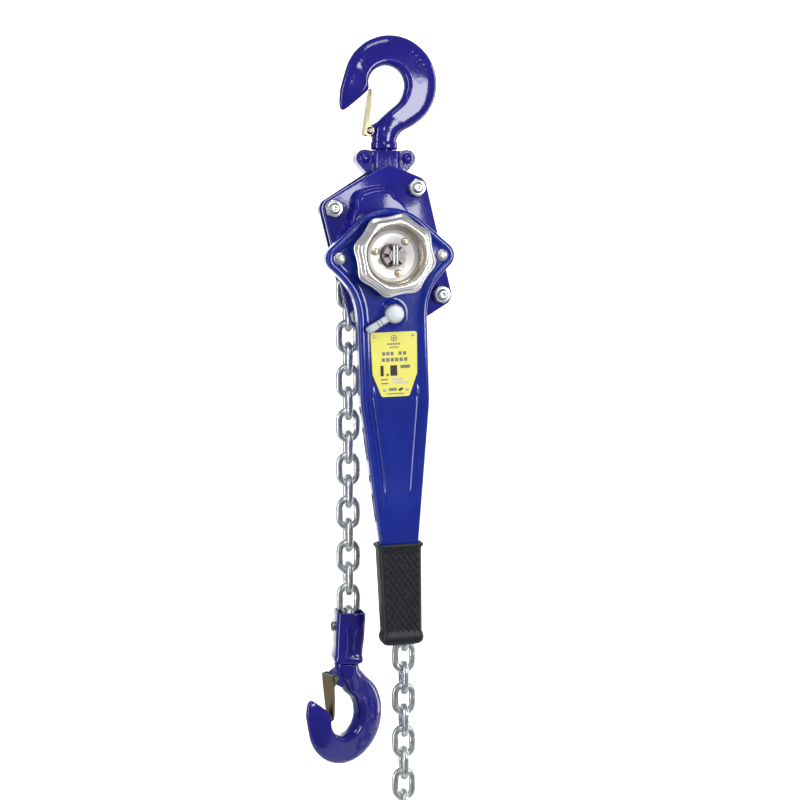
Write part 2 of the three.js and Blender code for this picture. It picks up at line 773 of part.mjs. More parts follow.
function addHandWheel() {
  // radius, depth and lobe height round the section, from the hub out and back
  const section = [
    [WHEEL_HUB, 77, 0],
    [28, 77, 0],
    [30.5, 80, 0],
    [33.4, 96.6, 0.4],
    [39.6, 88, 1.6],
    [42.2, 88, 1.8],
    [40, 95.5, 1.2],
    [37.3, 100, 0.9],
    [31.6, 100, 0],
    [27.6, 82.5, 0],
    [26.4, 80, 0],
    [WHEEL_HUB, 80, 0],
  ];
  const screwHoles = wheelScrewPlaces().map(([x, y]) => rod(2.4, 70, 85, x, y, 8));
  const wheel = cut(lobedTurning(section, WHEEL_LOBES, WHEEL_FIRST_LOBE, 40), ...screwHoles);
  addPiece('hand_wheel', shaft, wheel, chrome);
  const screw = join(rod(4.2, 80.3, 82.6, 0, 0, 12), rod(2.1, 76.8, 81, 0, 0, 8));
  wheelScrewPlaces().forEach(([x, y], i) => {
    addPiece(`wheel_screw_${i + 1}`, shaft, screw.clone().translate(x, y, 0), goldZinc);
  });
}

function wheelScrewPlaces() {
  const radius = 19.5;
  return [48, 168, 288].map((angle) => [radius * Math.cos(deg(angle)), radius * Math.sin(deg(angle))]);
}

function addDrive() {
  addGears();
  addPiece('load_sheave', shaft, loadSheave(), steel);
  addBrake();
  addPiece('change_gear', frame, changeGear(), steel);
  addPiece('castle_nut', shaft, castleNut(), darkSteel);
  const cotter = post(1.6, -12.8, 12.8, 0, 10).translate(0, 0, PIN_DEPTH);
  addPiece('cotter_pin', shaft, cotter, zinc);
  addHandWheel();
}

// ---------------------------------------------------------------- lever

// The pressed lever seen from the front, moved in by inset.
function leverOutline(inset) {
  const headRadius = 50.4 - inset;
  const earRadius = 14.7 - inset;
  const lean = Math.asin((50.4 - 14.7) / Math.hypot(EAR_REACH, EAR_Y));
  const shape = new THREE.Shape();
  const waist = 37.8 - inset;
  shape.moveTo(waist, -68);
  shape.bezierCurveTo(waist, -38, 50 - inset, -27, EAR_REACH + earRadius * 0.55, EAR_Y - earRadius * 0.84);
  shape.absarc(EAR_REACH, EAR_Y, earRadius, deg(-56), Math.PI / 2 - lean + deg(1), false);
  shape.absarc(0, 0, headRadius, Math.PI / 2 - lean, Math.PI / 2 + lean, false);
  shape.absarc(-EAR_REACH, EAR_Y, earRadius, Math.PI / 2 + lean - deg(1), deg(236), false);
  shape.bezierCurveTo(-50 + inset, -27, -waist, -38, -waist, -68);
  shape.lineTo(-waist, -155);
  shape.lineTo(-21.6 + inset, -305);
  shape.lineTo(-19 + inset, -402 + inset);
  shape.lineTo(19 - inset, -402 + inset);
  shape.lineTo(21.6 - inset, -305);
  shape.lineTo(waist, -155);
  shape.closePath();
  return shape;
}

// The lever seen from the side: the head is deeper than the arm.
function leverProfile(inset) {
  const front = LEVER_FRONT - inset;
  const back = LEVER_BACK + inset;
  return polygon([
    [-front, 60],
    [-front, -165],
    [-71.5 + inset, -300],
    [-71.5 + inset, -410],
    [-51 - inset, -410],
    [-51 - inset, -300],
    [-back, -165],
    [-back, 60],
  ]);
}

function leverSolid(inset) {
  const fromSide = plate(leverProfile(inset), -80, 80).rotateY(Math.PI / 2);
  return common(plate(leverOutline(inset), 30, 90, 5), fromSide);
}

function leverShells() {
  const hollow = cut(leverSolid(0), leverSolid(LEVER_WALL));
  const across = [-90, 90];
  const along = [-420, 70];
  const screwHoles = [-1, 1].map((side) => rod(3.4, 30, 100, side * EAR_REACH, EAR_Y, 10));
  const front = common(hollow, block(across, along, [LEVER_SPLIT + GAP / 2, 90]));
  const rear = common(hollow, block(across, along, [30, LEVER_SPLIT - GAP / 2]));
  return {
    front: cut(front, rod(14.4, 60, 80), rod(5.4, 60, 80, 0, -SELECTOR_DROP, 16), ...screwHoles),
    rear: cut(rear, rod(31.3, 40, 55, 0, 0, 32), ...screwHoles),
  };
}

// Rubber sleeve over the end of the lever, with a rolled lip at its mouth.
function grip() {
  const rows = [
    [-302, 24.6, 14.2],
    [-307, 25.4, 15],
    [-313, 23.4, 13.2],
    [-400, 21.6, 12.6],
    [-406, 22.4, 13.2],
    [-411, 21.6, 12.4],
    [-414, 18.5, 10],
  ];
  const middle = 61.2;
  const rings = rows.map(([y, halfWidth, halfDepth]) => {
    const chamfer = 2.6;
    const outline = [
      [halfWidth, halfDepth - chamfer],
      [halfWidth - chamfer, halfDepth],
      [chamfer - halfWidth, halfDepth],
      [-halfWidth, halfDepth - chamfer],
      [-halfWidth, chamfer - halfDepth],
      [chamfer - halfWidth, -halfDepth],
      [halfWidth - chamfer, -halfDepth],
      [halfWidth, chamfer - halfDepth],
    ];
    return outline.map(([x, z]) => new THREE.Vector3(x, y, middle + z));
  });
  return cut(loft(rings), leverSolid(-0.35));
}

const KNOB = { back: 76, front: 84, arm: 33, armHalf: 3.7, lean: deg(210) };

function selectorKnob() {
  const arm = block([0, KNOB.arm], [-KNOB.armHalf, KNOB.armHalf], [KNOB.back + 1.5, KNOB.front - 1.5]);
  const body = join(
    rod(9.9, KNOB.back, KNOB.front),
    arm.rotateZ(KNOB.lean),
    rod(5, 49.6, KNOB.back + 1, 0, 0, 16)
  );
  return body.translate(0, -SELECTOR_DROP, 0);
}

// Two horns stand clear of the change gear until the selector is turned to either side.
function changeoverPawl() {
  const reach = 33;
  const horn = deg(25);
  const tips = [1, -1].map((side) => [reach * Math.sin(side * horn), reach * Math.cos(horn), 1.8]);
  const arms = tips.map((tip) => plate(wrapOutline([[0, 0, 8.4], tip]), 50, 58, 4));
  return cut(join(...arms), rod(5.3, 40, 70, 0, 0, 16)).translate(0, -SELECTOR_DROP, 0);
}

function nameplate() {
  const outline = [
    [-24.4, -79.8],
    [-24.4, -124.8],
    [-14.2, -148.2],
    [14.2, -148.2],
    [24.4, -124.8],
    [24.4, -79.8],
  ];
  return plate(polygon(outline), LEVER_FRONT + GAP, LEVER_FRONT + GAP + 0.8);
}

function addLever() {
  const shells = leverShells();
  addPiece('lever_front_shell', lever, shells.front, leverPaint);
  addPiece('lever_rear_shell', lever, shells.rear, leverPaint);
  const screw = join(rod(6.4, 74.3, 78, 0, 0, 16), rod(3, 47, 75, 0, 0, 10));
  const screwAt = (side) => screw.clone().translate(side * EAR_REACH, EAR_Y, 0);
  addPiece('lever_screw_left', lever, screwAt(-1), zinc);
  addPiece('lever_screw_right', lever, screwAt(1), zinc);
  addPiece('grip', lever, grip(), rubber);
  addPiece('selector_knob', lever, selectorKnob(), castMetal);
  addPiece('changeover_pawl', lever, changeoverPawl(), darkSteel);
  addPiece('nameplate', lever, nameplate(), yellowPlate);
}

// ---------------------------------------------------------------- chain

// One link, long axis along y. Upright links lie in the front view, the others stand edge-on.
function link(upright, upEnd = LINK_FUSED_END, downEnd = LINK_FUSED_END) {
  const side = LINK_HALF_WIDTH;
  const crown = side * Math.tan(Math.PI / 8);
  const bend = side - crown;
  const corners = [
    [side, upEnd - bend],
    [crown, upEnd],
    [-crown, upEnd],
    [-side, upEnd - bend],
    [-side, bend - downEnd],
    [-crown, -downEnd],
    [crown, -downEnd],
    [side, bend - downEnd],
  ].map(([x, y]) => new THREE.Vector2(x, y));
  const loop = tubeLoop(corners, CHAIN_WIRE);
  return upright ? loop : loop.rotateY(Math.PI / 2);
}

// A straight run of links hanging from (x, top), where top is the meeting point above.
function chainRun(x, top, count, firstUpright) {
  const links = [];
  for (let i = 0; i < count; i += 1) {
    const upright = i % 2 === 0 ? firstUpright : !firstUpright;
    const upEnd = i === 0 ? LINK_FREE_END : LINK_FUSED_END;
    links.push(link(upright, upEnd).translate(x, top - CHAIN_PITCH * (i + 0.5), 0));
  }
  return join(...links);
}

// The links that lie round the top of the sheave.
function chainWrap() {
  const count = SHEAVE_LINKS / 2;
  const step = (2 * Math.PI) / SHEAVE_LINKS;
  const middleRadius = SHEAVE_RADIUS * Math.cos(step / 2);
  const links = [];
  for (let i = 0; i < count; i += 1) {
    const upEnd = i === count - 1 ? LINK_FREE_END : LINK_FUSED_END;
    const downEnd = i === 0 ? LINK_FREE_END : LINK_FUSED_END;
    const one = link(i % 2 === 1, upEnd, downEnd).translate(middleRadius, 0, 0);
    links.push(one.rotateZ(SHEAVE_PHASE + step * (i + 0.5)));
  }
  return join(...links);
}

function addChain() {
  const runX = SHEAVE_RADIUS * Math.cos(SHEAVE_PHASE);
  const runY = SHEAVE_RADIUS * Math.sin(SHEAVE_PHASE);
  addPiece('chain_on_sheave', shaft, chainWrap(), chainSteel);
  addPiece('chain_hook_side', shaft, chainRun(-runX, -runY, HOOK_LINKS, false), chainSteel);
  addPiece('chain_slack_side', shaft, chainRun(runX, runY, SLACK_LINKS, true), chainSteel);
  const lastCentre = runY - CHAIN_PITCH * (SLACK_LINKS - 0.5);
  const ringWire = 2.4;
  const ringRadius = 12;
  const ringTop = lastCentre - LINK_FUSED_END + CHAIN_WIRE + ringWire + GAP;
  const ringCorners = [];
  for (let k = 0; k < 12; k += 1) {
    const angle = (Math.PI * (k + 0.5)) / 6;
    ringCorners.push(new THREE.Vector2(ringRadius * Math.cos(angle), ringRadius * Math.sin(angle)));
  }
  const tail = tubeLoop(ringCorners, ringWire).translate(runX, ringTop - ringRadius, 0);
  addPiece('tail_ring', shaft, tail, zinc);
}

// ---------------------------------------------------------------- bottom yoke and hook

const LOW_YOKE = { half: 16.6, depth: 18, top: 19.4, foot: -39 };

function lowYokeSection() {
  const { half, depth } = LOW_YOKE;
  const corner = 7;
  return wrapOutline([
    [half - corner, depth - corner, corner],
    [corner - half, depth - corner, corner],
    [corner - half, corner - depth, corner],
    [half - corner, corner - depth, corner],
  ]);
}

const LOW_FLANGE_Y = -25.5; // swivel flange inside the yoke

function lowYokeBlock() {
  const height = LOW_YOKE.top - LOW_YOKE.foot;
  const outside = plate(lowYokeSection(), 0, height, 3).rotateX(-Math.PI / 2);
  return cut(
    outside.translate(0, LOW_YOKE.foot, 0),
    block([-15, 15], [7.8, 40], [-7.4, 7.4]),
    block([-5.6, 5.6], [-17, 40], [-15.3, 15.3]),
    crossBar(4.8, -40, 40),
    post(13, LOW_FLANGE_Y - 4.2, LOW_FLANGE_Y + 4.2),
    post(9.6, -60, LOW_FLANGE_Y)
  );
}

function addBottomHook() {
  const whole = lowYokeBlock();
  const leftSide = block([-40, -GAP / 2], [-80, 60], [-40, 40]);
  const rightSide = block([GAP / 2, 40], [-80, 60], [-40, 40]);
  addPiece('bottom_yoke_left', bottom, common(whole, leftSide), bluePaint);
  addPiece('bottom_yoke_right', bottom, common(whole, rightSide), bluePaint);
  const bolt = join(crossBar(4.5, -17.5, 16), crossBar(5.6, -20.2, -17));
  addPiece('bottom_bolt', bottom, bolt, darkSteel);

  const shankX = 2;
  const collarY = -80;
  const flangeY = collarY - 14;
  const pivotY = -65;
  const hang = new THREE.Group();
  hang.rotation.y = BOTTOM_TURN;
  bottom.add(hang);
  const turnOver = (geometry) =>
    geometry.translate(-shankX, -flangeY, 0).rotateX(Math.PI).translate(0, LOW_FLANGE_Y, 0);
  const body = hookWithLug(shankX, collarY, flangeY, pivotY);
  addPiece('bottom_hook', hang, turnOver(body), bluePaint);
  addPiece('bottom_latch', hang, turnOver(latch(pivotY)), goldZinc);
  addPiece('bottom_latch_pin', hang, turnOver(latchPin(pivotY)), darkSteel);
}

// ---------------------------------------------------------------- assembly

addTopHook();
addTopYoke();
addFrame();
addDrive();
addLever();
addChain();
addBottomHook();

export default hoist;
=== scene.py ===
"""Looks of a lever chain hoist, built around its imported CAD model.

Shapes are worked out in millimetres in the operator's front view: x right, y up, z towards
the operator. A space turns them upright and into metres, where the CAD model stands.
"""
import json
from math import asin, atan2, copysign, cos, exp, hypot, pi, radians, sin, sqrt

import bmesh
import bpy
import numpy as np
from mathutils import Matrix, Vector
from mathutils.geometry import tessellate_polygon


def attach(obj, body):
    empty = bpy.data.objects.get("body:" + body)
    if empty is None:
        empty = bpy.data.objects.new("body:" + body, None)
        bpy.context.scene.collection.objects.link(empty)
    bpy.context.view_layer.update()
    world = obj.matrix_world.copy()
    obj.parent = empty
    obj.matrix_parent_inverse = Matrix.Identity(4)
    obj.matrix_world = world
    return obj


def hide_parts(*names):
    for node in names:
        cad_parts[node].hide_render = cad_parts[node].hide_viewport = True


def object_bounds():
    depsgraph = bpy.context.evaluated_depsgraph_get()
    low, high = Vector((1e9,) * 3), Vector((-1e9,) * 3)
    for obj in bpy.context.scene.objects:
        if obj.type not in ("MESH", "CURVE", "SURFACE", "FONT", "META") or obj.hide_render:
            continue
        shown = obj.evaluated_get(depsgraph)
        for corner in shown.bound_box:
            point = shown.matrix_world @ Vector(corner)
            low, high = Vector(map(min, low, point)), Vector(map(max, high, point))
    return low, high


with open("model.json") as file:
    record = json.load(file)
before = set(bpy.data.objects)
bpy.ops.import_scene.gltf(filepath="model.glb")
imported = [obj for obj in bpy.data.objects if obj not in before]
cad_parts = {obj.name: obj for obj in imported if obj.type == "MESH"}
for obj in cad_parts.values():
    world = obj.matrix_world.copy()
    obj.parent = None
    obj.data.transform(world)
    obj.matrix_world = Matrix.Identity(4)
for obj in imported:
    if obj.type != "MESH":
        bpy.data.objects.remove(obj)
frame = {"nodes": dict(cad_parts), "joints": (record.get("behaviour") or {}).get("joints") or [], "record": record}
CAD_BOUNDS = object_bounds()
NODES = frame["nodes"]
JOINTS = {joint["name"]: joint for joint in frame["joints"]}

# ---------- spaces
FRAME_TILT = radians(13.8)
LEVER_TILT = radians(1.9)
BOTTOM_TILT = radians(-3.6)
BOTTOM_TURN = radians(28)
# the bottom hook's flange: its height in the bottom yoke, and its place on the hook itself
SEAT_Y = -25.5
LOW_SHANK_X, LOW_FLANGE_Y = 2, -94


def joint_place(name):
    """A joint's position in the front view, in millimetres."""
    x, y, z = JOINTS[name]["pos_m"]
    return Vector((x * 1000, z * 1000, -y * 1000))


AXIS = joint_place("drive_turn")
SWIVEL_X = joint_place("hook_swivel").x
PIN_Y = joint_place("housing_swing").y
BOLT = joint_place("load_yoke_swing")
UPRIGHT = Matrix.Rotation(pi / 2, 4, "X") @ Matrix.Scale(0.001, 4)


def moved(x, y, turn=0):
    return Matrix.Translation((x, y, 0)) @ Matrix.Rotation(turn, 4, "Z")


BOTTOM = UPRIGHT @ moved(BOLT.x, BOLT.y, BOTTOM_TILT)
SPACES = {
    "seat": UPRIGHT,
    "suspension": UPRIGHT @ moved(SWIVEL_X, 0),
    "frame": UPRIGHT @ moved(AXIS.x, AXIS.y, FRAME_TILT),
    "shaft": UPRIGHT @ moved(AXIS.x, AXIS.y),
    "lever": UPRIGHT @ moved(AXIS.x, AXIS.y, LEVER_TILT),
    "bottom": BOTTOM,
    "hang": BOTTOM
    @ Matrix.Rotation(BOTTOM_TURN, 4, "Y")
    @ Matrix.Translation((0, SEAT_Y, 0))
    @ Matrix.Rotation(pi, 4, "X")
    @ Matrix.Translation((-LOW_SHANK_X, -LOW_FLANGE_Y, 0)),
}


# ---------- materials
def adjust(shader, **inputs):
    """Sets a node's inputs by name, with underscores for spaces."""
    for key, value in inputs.items():
        shader.inputs[key.replace("_", " ")].default_value = value
    return shader


def node(tree, kind, **inputs):
    return adjust(tree.nodes.new(kind), **inputs)


def join(tree, source, output, target, socket):
    tree.links.new(source.outputs[output], target.inputs[socket])


def finish(name, color, second, rough, metallic=0, coat=0, grain=900, bump=0.12,
           patch=45, rough_swing=0.08, depth=0.00012, specular=0.5):
    """A procedural surface: two mixed tones, uneven gloss and a fine relief. depth is in metres."""
    made = bpy.data.materials.new(name)
    made.use_nodes = True
    tree = made.node_tree
    shader = adjust(tree.nodes["Principled BSDF"], Metallic=metallic, Coat_Weight=coat, Coat_Roughness=0.06,
                    Specular_IOR_Level=specular)
    coords = node(tree, "ShaderNodeTexCoord")
    large = node(tree, "ShaderNodeTexNoise", Scale=patch, Detail=4, Roughness=0.6)
    fine = node(tree, "ShaderNodeTexNoise", Scale=grain, Detail=3, Roughness=0.55)
    ramp = node(tree, "ShaderNodeValToRGB")
    for stop, position, tone in zip(ramp.color_ramp.elements, (0.35, 0.68), (color, second)):
        stop.position = position
        stop.color = (*tone, 1)
    gloss = node(tree, "ShaderNodeMapRange", To_Min=max(rough - rough_swing, 0.02),
                 To_Max=rough + rough_swing)
    relief = node(tree, "ShaderNodeBump", Strength=bump, Distance=depth)
    join(tree, coords, "Object", large, "Vector")
    join(tree, coords, "Object", fine, "Vector")
    join(tree, large, "Fac", ramp, "Fac")
    join(tree, ramp, "Color", shader, "Base Color")
    join(tree, large, "Fac", gloss, "Value")
    join(tree, gloss, "Result", shader, "Roughness")
    join(tree, fine, "Fac", relief, "Height")
    join(tree, relief, "Normal", shader, "Normal")
    join(tree, relief, "Normal", shader, "Coat Normal")
    return made


SLOT_LOOKS = {
    "blue_paint": finish("forged_blue_paint", (0.009, 0.006, 0.2), (0.013, 0.009, 0.26), 0.22, coat=1,
                         grain=260, bump=0.17, depth=0.0006, patch=30, specular=0.1),
    "lever_paint": finish("lever_blue_paint", (0.004, 0.016, 0.26), (0.007, 0.026, 0.33), 0.2, coat=1,
                          grain=300, bump=0.08, depth=0.0004, patch=20, specular=0.1),
    "zinc": finish("bright_zinc", (0.7, 0.71, 0.7), (0.5, 0.52, 0.52), 0.3, metallic=0.9, grain=1500,
                   patch=220),
    "chrome": finish("chrome", (0.9, 0.89, 0.87), (0.84, 0.82, 0.79), 0.27, metallic=0.85, grain=500,
                     bump=0, patch=60, rough_swing=0.02),
    "chain_steel": finish("galvanised_chain", (0.8, 0.82, 0.81), (0.46, 0.49, 0.5), 0.3, metallic=1,
                          grain=700, bump=0.2, depth=0.0004, patch=160, rough_swing=0.07),
    "cast_metal": finish("cast_zinc_alloy", (0.6, 0.64, 0.68), (0.5, 0.53, 0.57), 0.46, metallic=0.55,
                         grain=1400, bump=0.5, depth=0.0003, patch=90),
    "dark_steel": finish("dark_steel", (0.22, 0.21, 0.21), (0.38, 0.36, 0.36), 0.36, metallic=1, bump=0.5,
                         depth=0.0004, patch=260),
    "steel": finish("machined_steel", (0.42, 0.42, 0.43), (0.3, 0.3, 0.31), 0.3, metallic=1, grain=1200,
                    patch=150),
    "friction_lining": finish("brake_lining", (0.16, 0.09, 0.055), (0.08, 0.05, 0.035), 0.85, grain=1800,
                              bump=0.7),
    "gold_zinc": finish("yellow_zinc", (0.52, 0.42, 0.2), (0.36, 0.37, 0.24), 0.3, metallic=1, grain=700,
                        patch=110),
    "black_rubber": finish("black_rubber", (0.01, 0.011, 0.014), (0.018, 0.02, 0.024), 0.42, grain=2500,
                           bump=0.35, depth=0.0002, patch=120, specular=0.35),
    "yellow_plate": finish("yellow_enamel", (0.92, 0.84, 0.1), (0.95, 0.89, 0.17), 0.4, coat=0.25,
                           grain=600, bump=0.06),
}
cover_blue = finish("cover_blue_paint", (0.011, 0.009, 0.24), (0.016, 0.014, 0.3), 0.24, coat=0.9,
                    grain=420, bump=0.14, depth=0.0004, patch=26, specular=0.1)
satin = finish("satin_nickel", (0.95, 0.94, 0.92), (0.9, 0.89, 0.86), 0.42, metallic=0.45, bump=0.1)
# chrome with a painted reflection: a brown tint stands in for the surroundings reflected in the wheel recess's
# wall
brown_reflection_chrome = finish("chrome_painted_brown_reflection", (0.6, 0.5, 0.41), (0.74, 0.65, 0.56), 0.24, metallic=0.9, grain=700)
nut_steel = finish("nut_steel", (0.34, 0.31, 0.3), (0.22, 0.2, 0.2), 0.46, metallic=0.8, bump=0.5,
                   depth=0.0004, patch=260)
shaft_steel = finish("shaft_steel", (0.2, 0.19, 0.19), (0.3, 0.29, 0.29), 0.46, metallic=1, grain=1200,
                     patch=150)
bronze = finish("bronze_zinc", (0.3, 0.2, 0.11), (0.2, 0.22, 0.13), 0.3, metallic=1, grain=700, patch=110)
pale_gold = finish("pale_gold_zinc", (0.74, 0.68, 0.5), (0.6, 0.57, 0.42), 0.3, metallic=0.9, grain=700,
                   patch=110)
grey_ink = finish("grey_ink", (0.16, 0.17, 0.14), (0.24, 0.25, 0.21), 0.6, grain=1500)
black_ink = finish("black_ink", (0.012, 0.012, 0.012), (0.03, 0.03, 0.03), 0.55, grain=1500)
pale_ink = finish("pale_ink", (0.62, 0.62, 0.56), (0.7, 0.7, 0.66), 0.6, grain=1500)


# ---------- outlines
def around(radius, angle, x=0, y=0):
    """The point at an angle on a circle about (x, y)."""
    return x + radius * cos(angle), y + radius * sin(angle)


def circle(x, y, radius, sides=48):
    return [around(radius, 2 * pi * k / sides, x, y) for k in range(sides)]


def flipped(points):
    """The mirror image of (x, y) points in the y axis, run backwards."""
    return [(-x, y) for x, y in reversed(points)]


def both_ends(rows):
    """(radius, z) rows followed by their mirror image, for a turned piece with equal ends."""
    return rows + [(radius, -z) for radius, z in reversed(rows)]


def wrapped(circles, inset, steps):
    """The tight outline round an anticlockwise ring of circles (x, y, radius), moved in by inset."""
    def tangent(a, b):
        dx, dy = b[0] - a[0], b[1] - a[1]
        lean = asin((b[2] - a[2]) / hypot(dx, dy))
        return atan2(dy, dx) - pi / 2 - lean

    outline = []
    for i, (x, y, radius) in enumerate(circles):
        start = tangent(circles[i - 1], circles[i])
        end = tangent(circles[i], circles[(i + 1) % len(circles)])
        while end < start:
            end += 2 * pi
        outline += [around(radius - inset, start + (end - start) * k / steps, x, y) for k in range(steps + 1)]
    return outline


def smooth_path(points, per):
    """A Catmull-Rom curve through rows of numbers, with per steps from each row to the next."""
    rows = np.array(points, float)
    last = len(rows) - 1
    out = []
    for i in range(last):
        a, b, c, d = (rows[min(max(i + offset, 0), last)] for offset in (-1, 0, 1, 2))
        for k in range(per):
            t = k / per
            out.append(0.5 * (2 * b + (c - a) * t + (2 * a - 5 * b + 4 * c - d) * t * t
                              + (3 * b - a - 3 * c + d) * t ** 3))
    out.append(rows[-1])
    return np.array(out)


# ---------- shapes: (points, faces)
LEAST_RADIUS = 0.01
HEX_SIDES = 72


def merge(*shapes):
    points, faces = [], []
    for some_points, some_faces in shapes:
        start = len(points)
        points += list(some_points)
        faces += [tuple(index + start for index in face) for face in some_faces]
    return points, faces


def shifted(shape, x=0, y=0, z=0):
    points, faces = shape
    return [(p[0] + x, p[1] + y, p[2] + z) for p in points], faces


def transformed(shape, matrix):
    points, faces = shape
    return [tuple(matrix @ Vector(p)) for p in points], faces


def spun(shape, angle):
    return transformed(shape, Matrix.Rotation(angle, 4, "Z"))


def lofted(rings, closed_loop=False):
    """Rings of equal point counts, skinned one to the next and capped unless they close a loop."""
    count = len(rings[0])
    points = [tuple(point) for ring in rings for point in ring]
    faces = []
    for i in range(len(rings) if closed_loop else len(rings) - 1):
        here, there = i * count, ((i + 1) % len(rings)) * count
        for k in range(count):
            turn = (k + 1) % count
            faces.append((here + k, here + turn, there + turn, there + k))
    if not closed_loop:
        faces.append(tuple(reversed(range(count))))
        faces.append(tuple(range(len(points) - count, len(points))))
    return points, faces


def turned(rows, sides, wave=None, closed=False):
    """(radius, z) rows turned about z. wave(angle) adds its value times a row's third entry."""
    rings = []
    for radius, z, *lift in rows:
        ring = []
        for k in range(sides):
            angle = 2 * pi * k / sides
            reach = max(radius, LEAST_RADIUS)
            if lift:
                reach += lift[0] * wave(angle)
            ring.append((*around(reach, angle), z))
        rings.append(ring)
    return lofted(rings, closed_loop=closed)


def prism(outline, z0, z1, holes=()):
    """A flat outline between two depths, with holes through it."""
    loops = [outline, *holes]
    flat = [[Vector((x, y, 0)) for x, y in loop] for loop in loops]
    count = sum(len(loop) for loop in loops)
    points = [(x, y, z) for z in (z0, z1) for loop in loops for x, y in loop]
    faces = []
    for triangle in tessellate_polygon(flat):
        faces.append(tuple(triangle))
        faces.append(tuple(index + count for index in reversed(triangle)))
    start = 0
    for loop in loops:
        size = len(loop)
        for k in range(size):
            a, b = start + k, start + (k + 1) % size
            faces.append((a, b, b + count, a + count))
        start += size
    return points, faces


def stepped(circles, rows, steps):
    """A pressed dome: the wrapped outline at each (inset, z) row."""
    return lofted([[(x, y, z) for x, y in wrapped(circles, inset, steps)] for inset, z in rows])


def tube(path, radius, sides=12, closed=False):
    """A round wire along a path; radius may be one number or one for each point."""
    points = [Vector(p) for p in path]
    count = len(points)
    radii = [radius] * count if isinstance(radius, (int, float)) else radius
    side = None
    rings = []
    for i, point in enumerate(points):
        before = points[i - 1] if closed or i else points[0]
        after = points[(i + 1) % count] if closed or i < count - 1 else points[-1]
        along = (after - before).normalized()
        if side is None:
            side = Vector((0, 0, 1)) if closed else along.orthogonal().normalized()
        side = (side - along * side.dot(along)).normalized()
        other = along.cross(side)
        rings.append([point + (side * c + other * s) * radii[i] for c, s in circle(0, 0, 1, sides)])
    return lofted(rings, closed_loop=closed)


def hexagon_rings(across, rows):
    """A hexagonal bar with turned chamfers. rows: (z, cap) with cap the chamfer circle's radius."""
    rings = []
    for z, cap in rows:
        ring = []
        for k in range(HEX_SIDES):
            angle = 2 * pi * k / HEX_SIDES
            from_flat = (angle + pi / 6) % (pi / 3) - pi / 6
            ring.append((*around(min(across / 2 / cos(from_flat), cap), angle), z))
        rings.append(ring)
    return rings


def grid_faces(rows, columns):
    """Four-sided faces of a grid whose points are listed row by row."""
    faces = []
    for i in range(rows - 1):
        for k in range(columns - 1):
            a, b = i * columns + k, (i + 1) * columns + k
            faces.append((a, b, b + 1, a + 1))
    return faces


def grid_border(rows, columns):
    """Indexes round a grid: down its first column, along its last row, up and back."""
    border = [i * columns for i in range(rows)]
    border += [(rows - 1) * columns + k for k in range(1, columns)]
    border += [i * columns + columns - 1 for i in range(rows - 2, -1, -1)]
    return border + list(range(columns - 2, 0, -1))


def add_wall(points, faces, border, foot):
    """A wall from a border down to the foot, which has a point for each index of the border."""
    start = len(points)
    points += foot
    for k in range(len(border)):
        turn = (k + 1) % len(border)
        faces.append((border[k], start + k, start + turn, border[turn]))
    return start


def screw_head(radius, z0, rim, dome, arm, half, deep, grid):
    """A pan head with a cross recess, made of a square grid bent into a disc."""
    slope = 0.35
    points = []
    for i in range(grid + 1):
        for k in range(grid + 1):
            u, v = 2 * i / grid - 1, 2 * k / grid - 1
            x = radius * u * sqrt(1 - v * v / 2)
            y = radius * v * sqrt(1 - u * u / 2)
            far = min(hypot(x, y) / radius, 1)
            z = z0 + rim + dome * sqrt(max(1 - far * far, 0))
            outside = max(max(abs(x), abs(y)) - arm, min(abs(x), abs(y)) - half)
            points.append((x, y, z - deep * min(max(-outside / slope, 0), 1)))
    faces = grid_faces(grid + 1, grid + 1)
    border = grid_border(grid + 1, grid + 1)
    start = add_wall(points, faces, border, [(*points[index][:2], z0) for index in border])
    faces.append(tuple(range(start, len(points))))
    return points, faces


# ---------- pieces
def part(name, shape, space, body, slot, look=None, replaces=(), bevel=0, sharp=35, wall=0):
    """Makes one visible piece that rides on its body. A shape with a wall is an open sheet."""
    points, faces = shape
    mesh = bpy.data.meshes.new(name)
    mesh.from_pydata([tuple(point) for point in points], [], faces)
    shaped = bmesh.new()
    shaped.from_mesh(mesh)
    bmesh.ops.remove_doubles(shaped, verts=shaped.verts, dist=0.0005)
    bmesh.ops.dissolve_degenerate(shaped, edges=shaped.edges, dist=0.0005)
    if not wall:
        bmesh.ops.recalc_face_normals(shaped, faces=shaped.faces)
    shaped.to_mesh(mesh)
    shaped.free()
    mesh.transform(SPACES[space])
    mesh.materials.append(look or SLOT_LOOKS[slot])
    piece = bpy.data.objects.new(name, mesh)
    bpy.context.scene.collection.objects.link(piece)
    for polygon in mesh.polygons:
        polygon.use_smooth = True
    mesh.set_sharp_from_angle(angle=radians(sharp))
    if wall:
        thick = piece.modifiers.new("wall", "SOLIDIFY")
        thick.thickness = wall / 1000
        thick.offset = -1
    if bevel:
        rounding = piece.modifiers.new("rounding", "BEVEL")
        rounding.width = bevel / 1000
        rounding.segments = 3
        rounding.limit_method = "ANGLE"
        rounding.angle_limit = radians(sharp)
        rounding.harden_normals = True
    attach(piece, body)
    if replaces:
        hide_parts(*replaces)
    return piece


# ---------- hooks
HOOK_BACK = (5, -18, 51.2)
HOOK_BOWL = (0, -20, 20)
LATCH_PIN_X = -19
# across the section from the bowl side (-1) to the back (+1), and its share of the thickness
HOOK_SECTION = [
    (-1, 0), (-0.985, 0.3), (-0.94, 0.56), (-0.86, 0.8), (-0.76, 0.955), (-0.68, 1), (-0.56, 0.99),
    (-0.3, 0.955), (0, 0.9), (0.3, 0.83), (0.55, 0.74), (0.75, 0.6), (0.89, 0.42), (0.97, 0.22),
    (1, 0),
]
# stations along the hook hold the back's point, the bowl's point and half the thickness
BEAK = [
    (-49.6, -46.6, -47.4, -47.8, 0.6), (-50.6, -44.6, -45, -46.9, 2.9), (-51.3, -40, -41, -44.2, 4.9),
    (-51, -32, -33, -37.8, 6.9), (-50, -24, -25.2, -31, 8.4),
]
